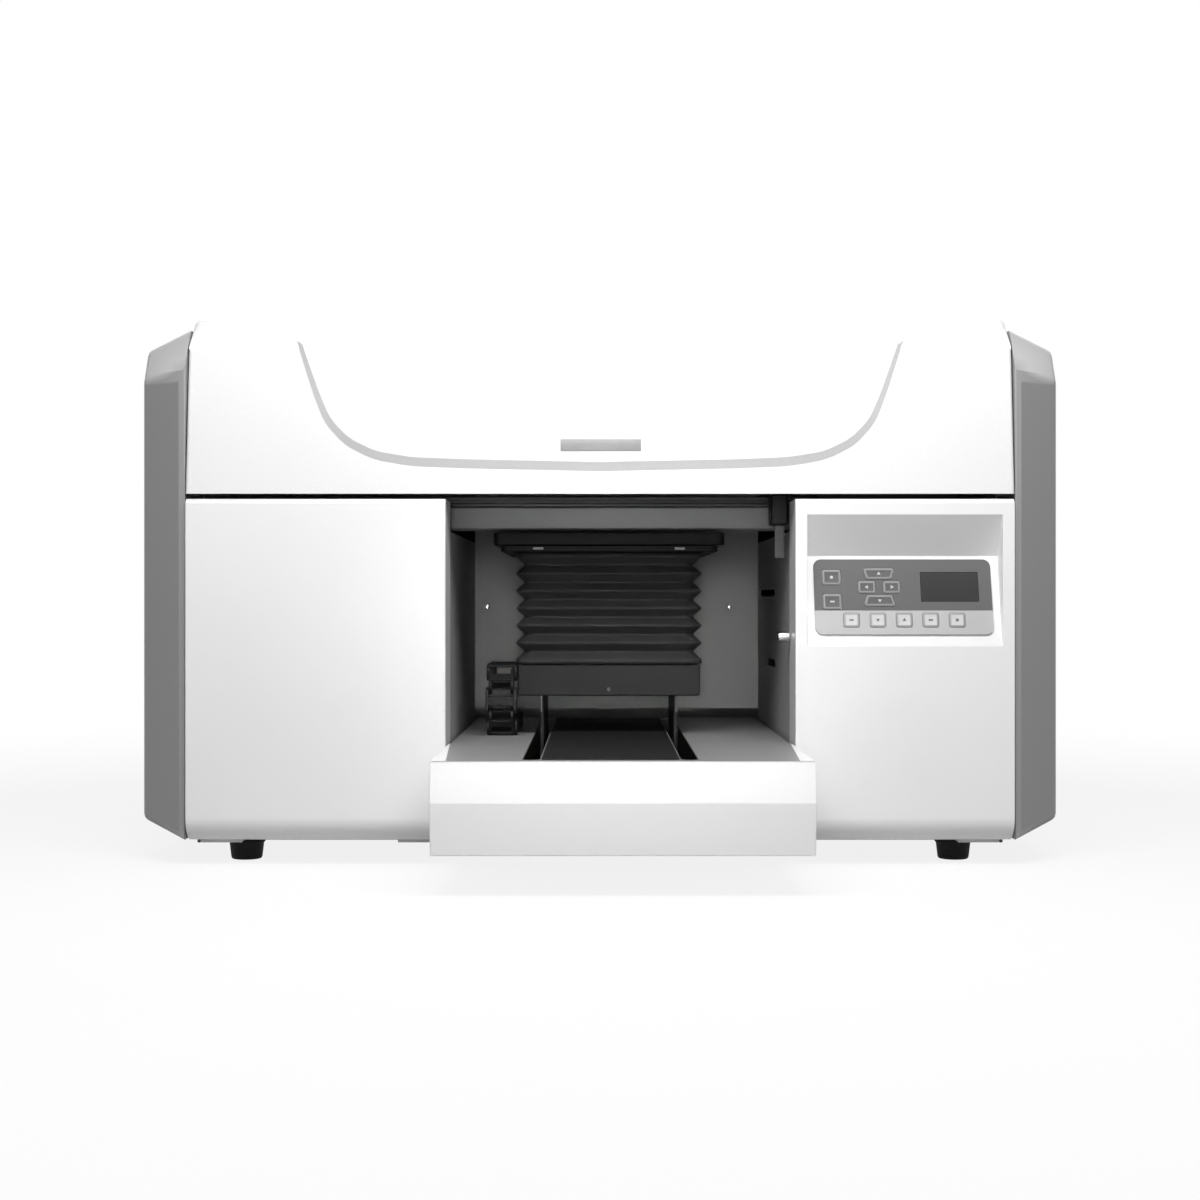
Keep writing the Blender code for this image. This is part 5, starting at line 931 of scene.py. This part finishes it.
# Hood hinges: two moulded lugs inside the hood's back, each with a bored knuckle below its block.
# They turn on plated steel pins, which the rear panel's ears hold.
KNUCKLE_BORE, KNUCKLE_RADIUS, KNUCKLE_HALF = 0.0033, 0.006, 0.010
KNUCKLE = [(KNUCKLE_BORE, -KNUCKLE_HALF), (KNUCKLE_RADIUS, -KNUCKLE_HALF), (KNUCKLE_RADIUS, KNUCKLE_HALF),
           (KNUCKLE_BORE, KNUCKLE_HALF), (KNUCKLE_BORE, -KNUCKLE_HALF)]
LUG, LUG_SHIFT, LUG_EDGE = (2 * KNUCKLE_HALF, 0.0135, 0.012), Vector((0, 0.0008, 0.0122)), 0.0008
lugs = bmesh.new()
for side in (-1, 1):
    centre = Vector((side * HINGE.x, HINGE.y, HINGE.z))
    gather(lugs, turned(KNUCKLE, Matrix.Translation(centre) @ Matrix.Rotation(math.pi / 2, 4, "Y"), 24))
    gather(lugs, block(LUG, centre + LUG_SHIFT, LUG_EDGE))
show("hood_lugs", lugs, hood_gloss, "hood")
for node in ("hinge_pin_left", "hinge_pin_right"):
    dress(node, plated, edge=0.0005, segments=2)

# Studio: a pale floor that keeps the shadow, a wide lamp above the front, and light from all round.
# The camera stands level in front, at the height of the bay.
CAMERA_PLACE, CAMERA_LENS, CAMERA_SENSOR = (0.0, -2.1175, 0.2674), 57, 36
FLOOR_REACH, FLOOR_NEAR, FLOOR_FAR = 6, 0.9, 2.2
FLOOR_GREY, FLOOR_GLOW, FLOOR_SHARE = 186, 1.22, 0.7
AMBIENT = 0.13
WHITE = (1, 1, 1, 1)


def seen_by(tree, *kinds):
    """A share of 1 for the given kinds of ray and 0 for the others."""
    rays = add_node(tree, "LightPath").outputs
    share = rays[kinds[0]]
    for kind in kinds[1:]:
        share = add_node(tree, "Math", {0: share, 1: rays[kind]}, operation="MAXIMUM").outputs[0]
    return share


def make_floor():
    """Matt paper: it takes the shadow near the object and runs out into the white backdrop far off."""
    material, tree = new_finish("studio_floor")[:2]
    tree.nodes.clear()
    place = add_node(tree, "TexCoord").outputs["Object"]
    away = add_node(tree, "VectorMath", {0: place}, operation="LENGTH").outputs["Value"]
    fade = ramp(tree, away, FLOOR_NEAR, FLOOR_FAR, FLOOR_SHARE, 1.0)
    level = ramp(tree, away, FLOOR_NEAR, FLOOR_FAR, FLOOR_GLOW, 1.0)
    seen = seen_by(tree, "Is Camera Ray", "Is Glossy Ray")
    share = add_node(tree, "Math", {0: seen, 1: fade}, operation="MULTIPLY").outputs[0]
    diffuse = add_node(tree, "BsdfDiffuse", {"Color": grey(FLOOR_GREY)}).outputs[0]
    glow = add_node(tree, "Emission", {"Color": WHITE, "Strength": level}).outputs[0]
    paper = add_node(tree, "MixShader", {0: share, 1: diffuse, 2: glow}).outputs[0]
    add_node(tree, "OutputMaterial", {"Surface": paper})
    return material


floor_form = bmesh.new()
bmesh.ops.create_grid(floor_form, x_segments=1, y_segments=1, size=FLOOR_REACH)
floor_mesh = bpy.data.meshes.new("studio_floor")
floor_form.to_mesh(floor_mesh)
floor_form.free()
floor_mesh.materials.append(make_floor())
floor = bpy.data.objects.new("studio_floor", floor_mesh)
bpy.context.scene.collection.objects.link(floor)

world = bpy.data.worlds.new("studio light")
world.use_nodes = True
bpy.context.scene.world = world
sky = world.node_tree
sky.nodes.clear()
seen = seen_by(sky, "Is Camera Ray", "Is Glossy Ray", "Is Transmission Ray")
ambient = add_node(sky, "Background", {"Color": WHITE, "Strength": AMBIENT}).outputs[0]
backdrop = add_node(sky, "Background", {"Color": WHITE, "Strength": 1.0}).outputs[0]
choice = add_node(sky, "MixShader", {0: seen, 1: ambient, 2: backdrop}).outputs[0]
add_node(sky, "OutputWorld", {"Surface": choice})


def lamp(name, power, size, place, aim, spread=180):
    """A soft rectangular lamp, narrowed by a grid where its spread is less than a half turn."""
    light = bpy.data.lights.new(name, "AREA")
    light.spread = math.radians(spread)
    light.energy = power
    light.shape = "RECTANGLE"
    light.size, light.size_y = size
    obj = bpy.data.objects.new(name, light)
    obj.location = place
    obj.rotation_euler = (Vector(aim) - Vector(place)).to_track_quat("-Z", "Y").to_euler()
    bpy.context.scene.collection.objects.link(obj)


lamp("strip_lamp", 12.8, (1.2, 0.4), (0.04, -0.87, 1.045), (0.02, -0.3, 0.3))
lamp("front_lamp", 6.3, (1.6, 0.6), (0.0, -3.2, 0.4), (0, 0, 0.25))
lamp("back_lamp", 16.0, (2.4, 1.2), (0.0, 2.4, 1.9), (0, 0.3, 0.3))
lamp("bay_lamp_high", 0.06, (0.3, 0.2), (0.02, -2.3, 0.55), (0.02, 0.2, 0.2), 12)
lamp("bay_lamp_low", 0.041, (0.3, 0.06), (0.02, -2.3, 0.165), (0.02, 0.2, 0.2), 12)

lens = bpy.data.cameras.new("camera")
lens.lens = CAMERA_LENS
lens.sensor_width = CAMERA_SENSOR
camera = bpy.data.objects.new("camera", lens)
camera.location = CAMERA_PLACE
camera.rotation_euler = (math.pi / 2, 0, 0)
bpy.context.scene.collection.objects.link(camera)
bpy.context.scene.camera = camera
bpy.context.scene.view_settings.view_transform = "Standard"
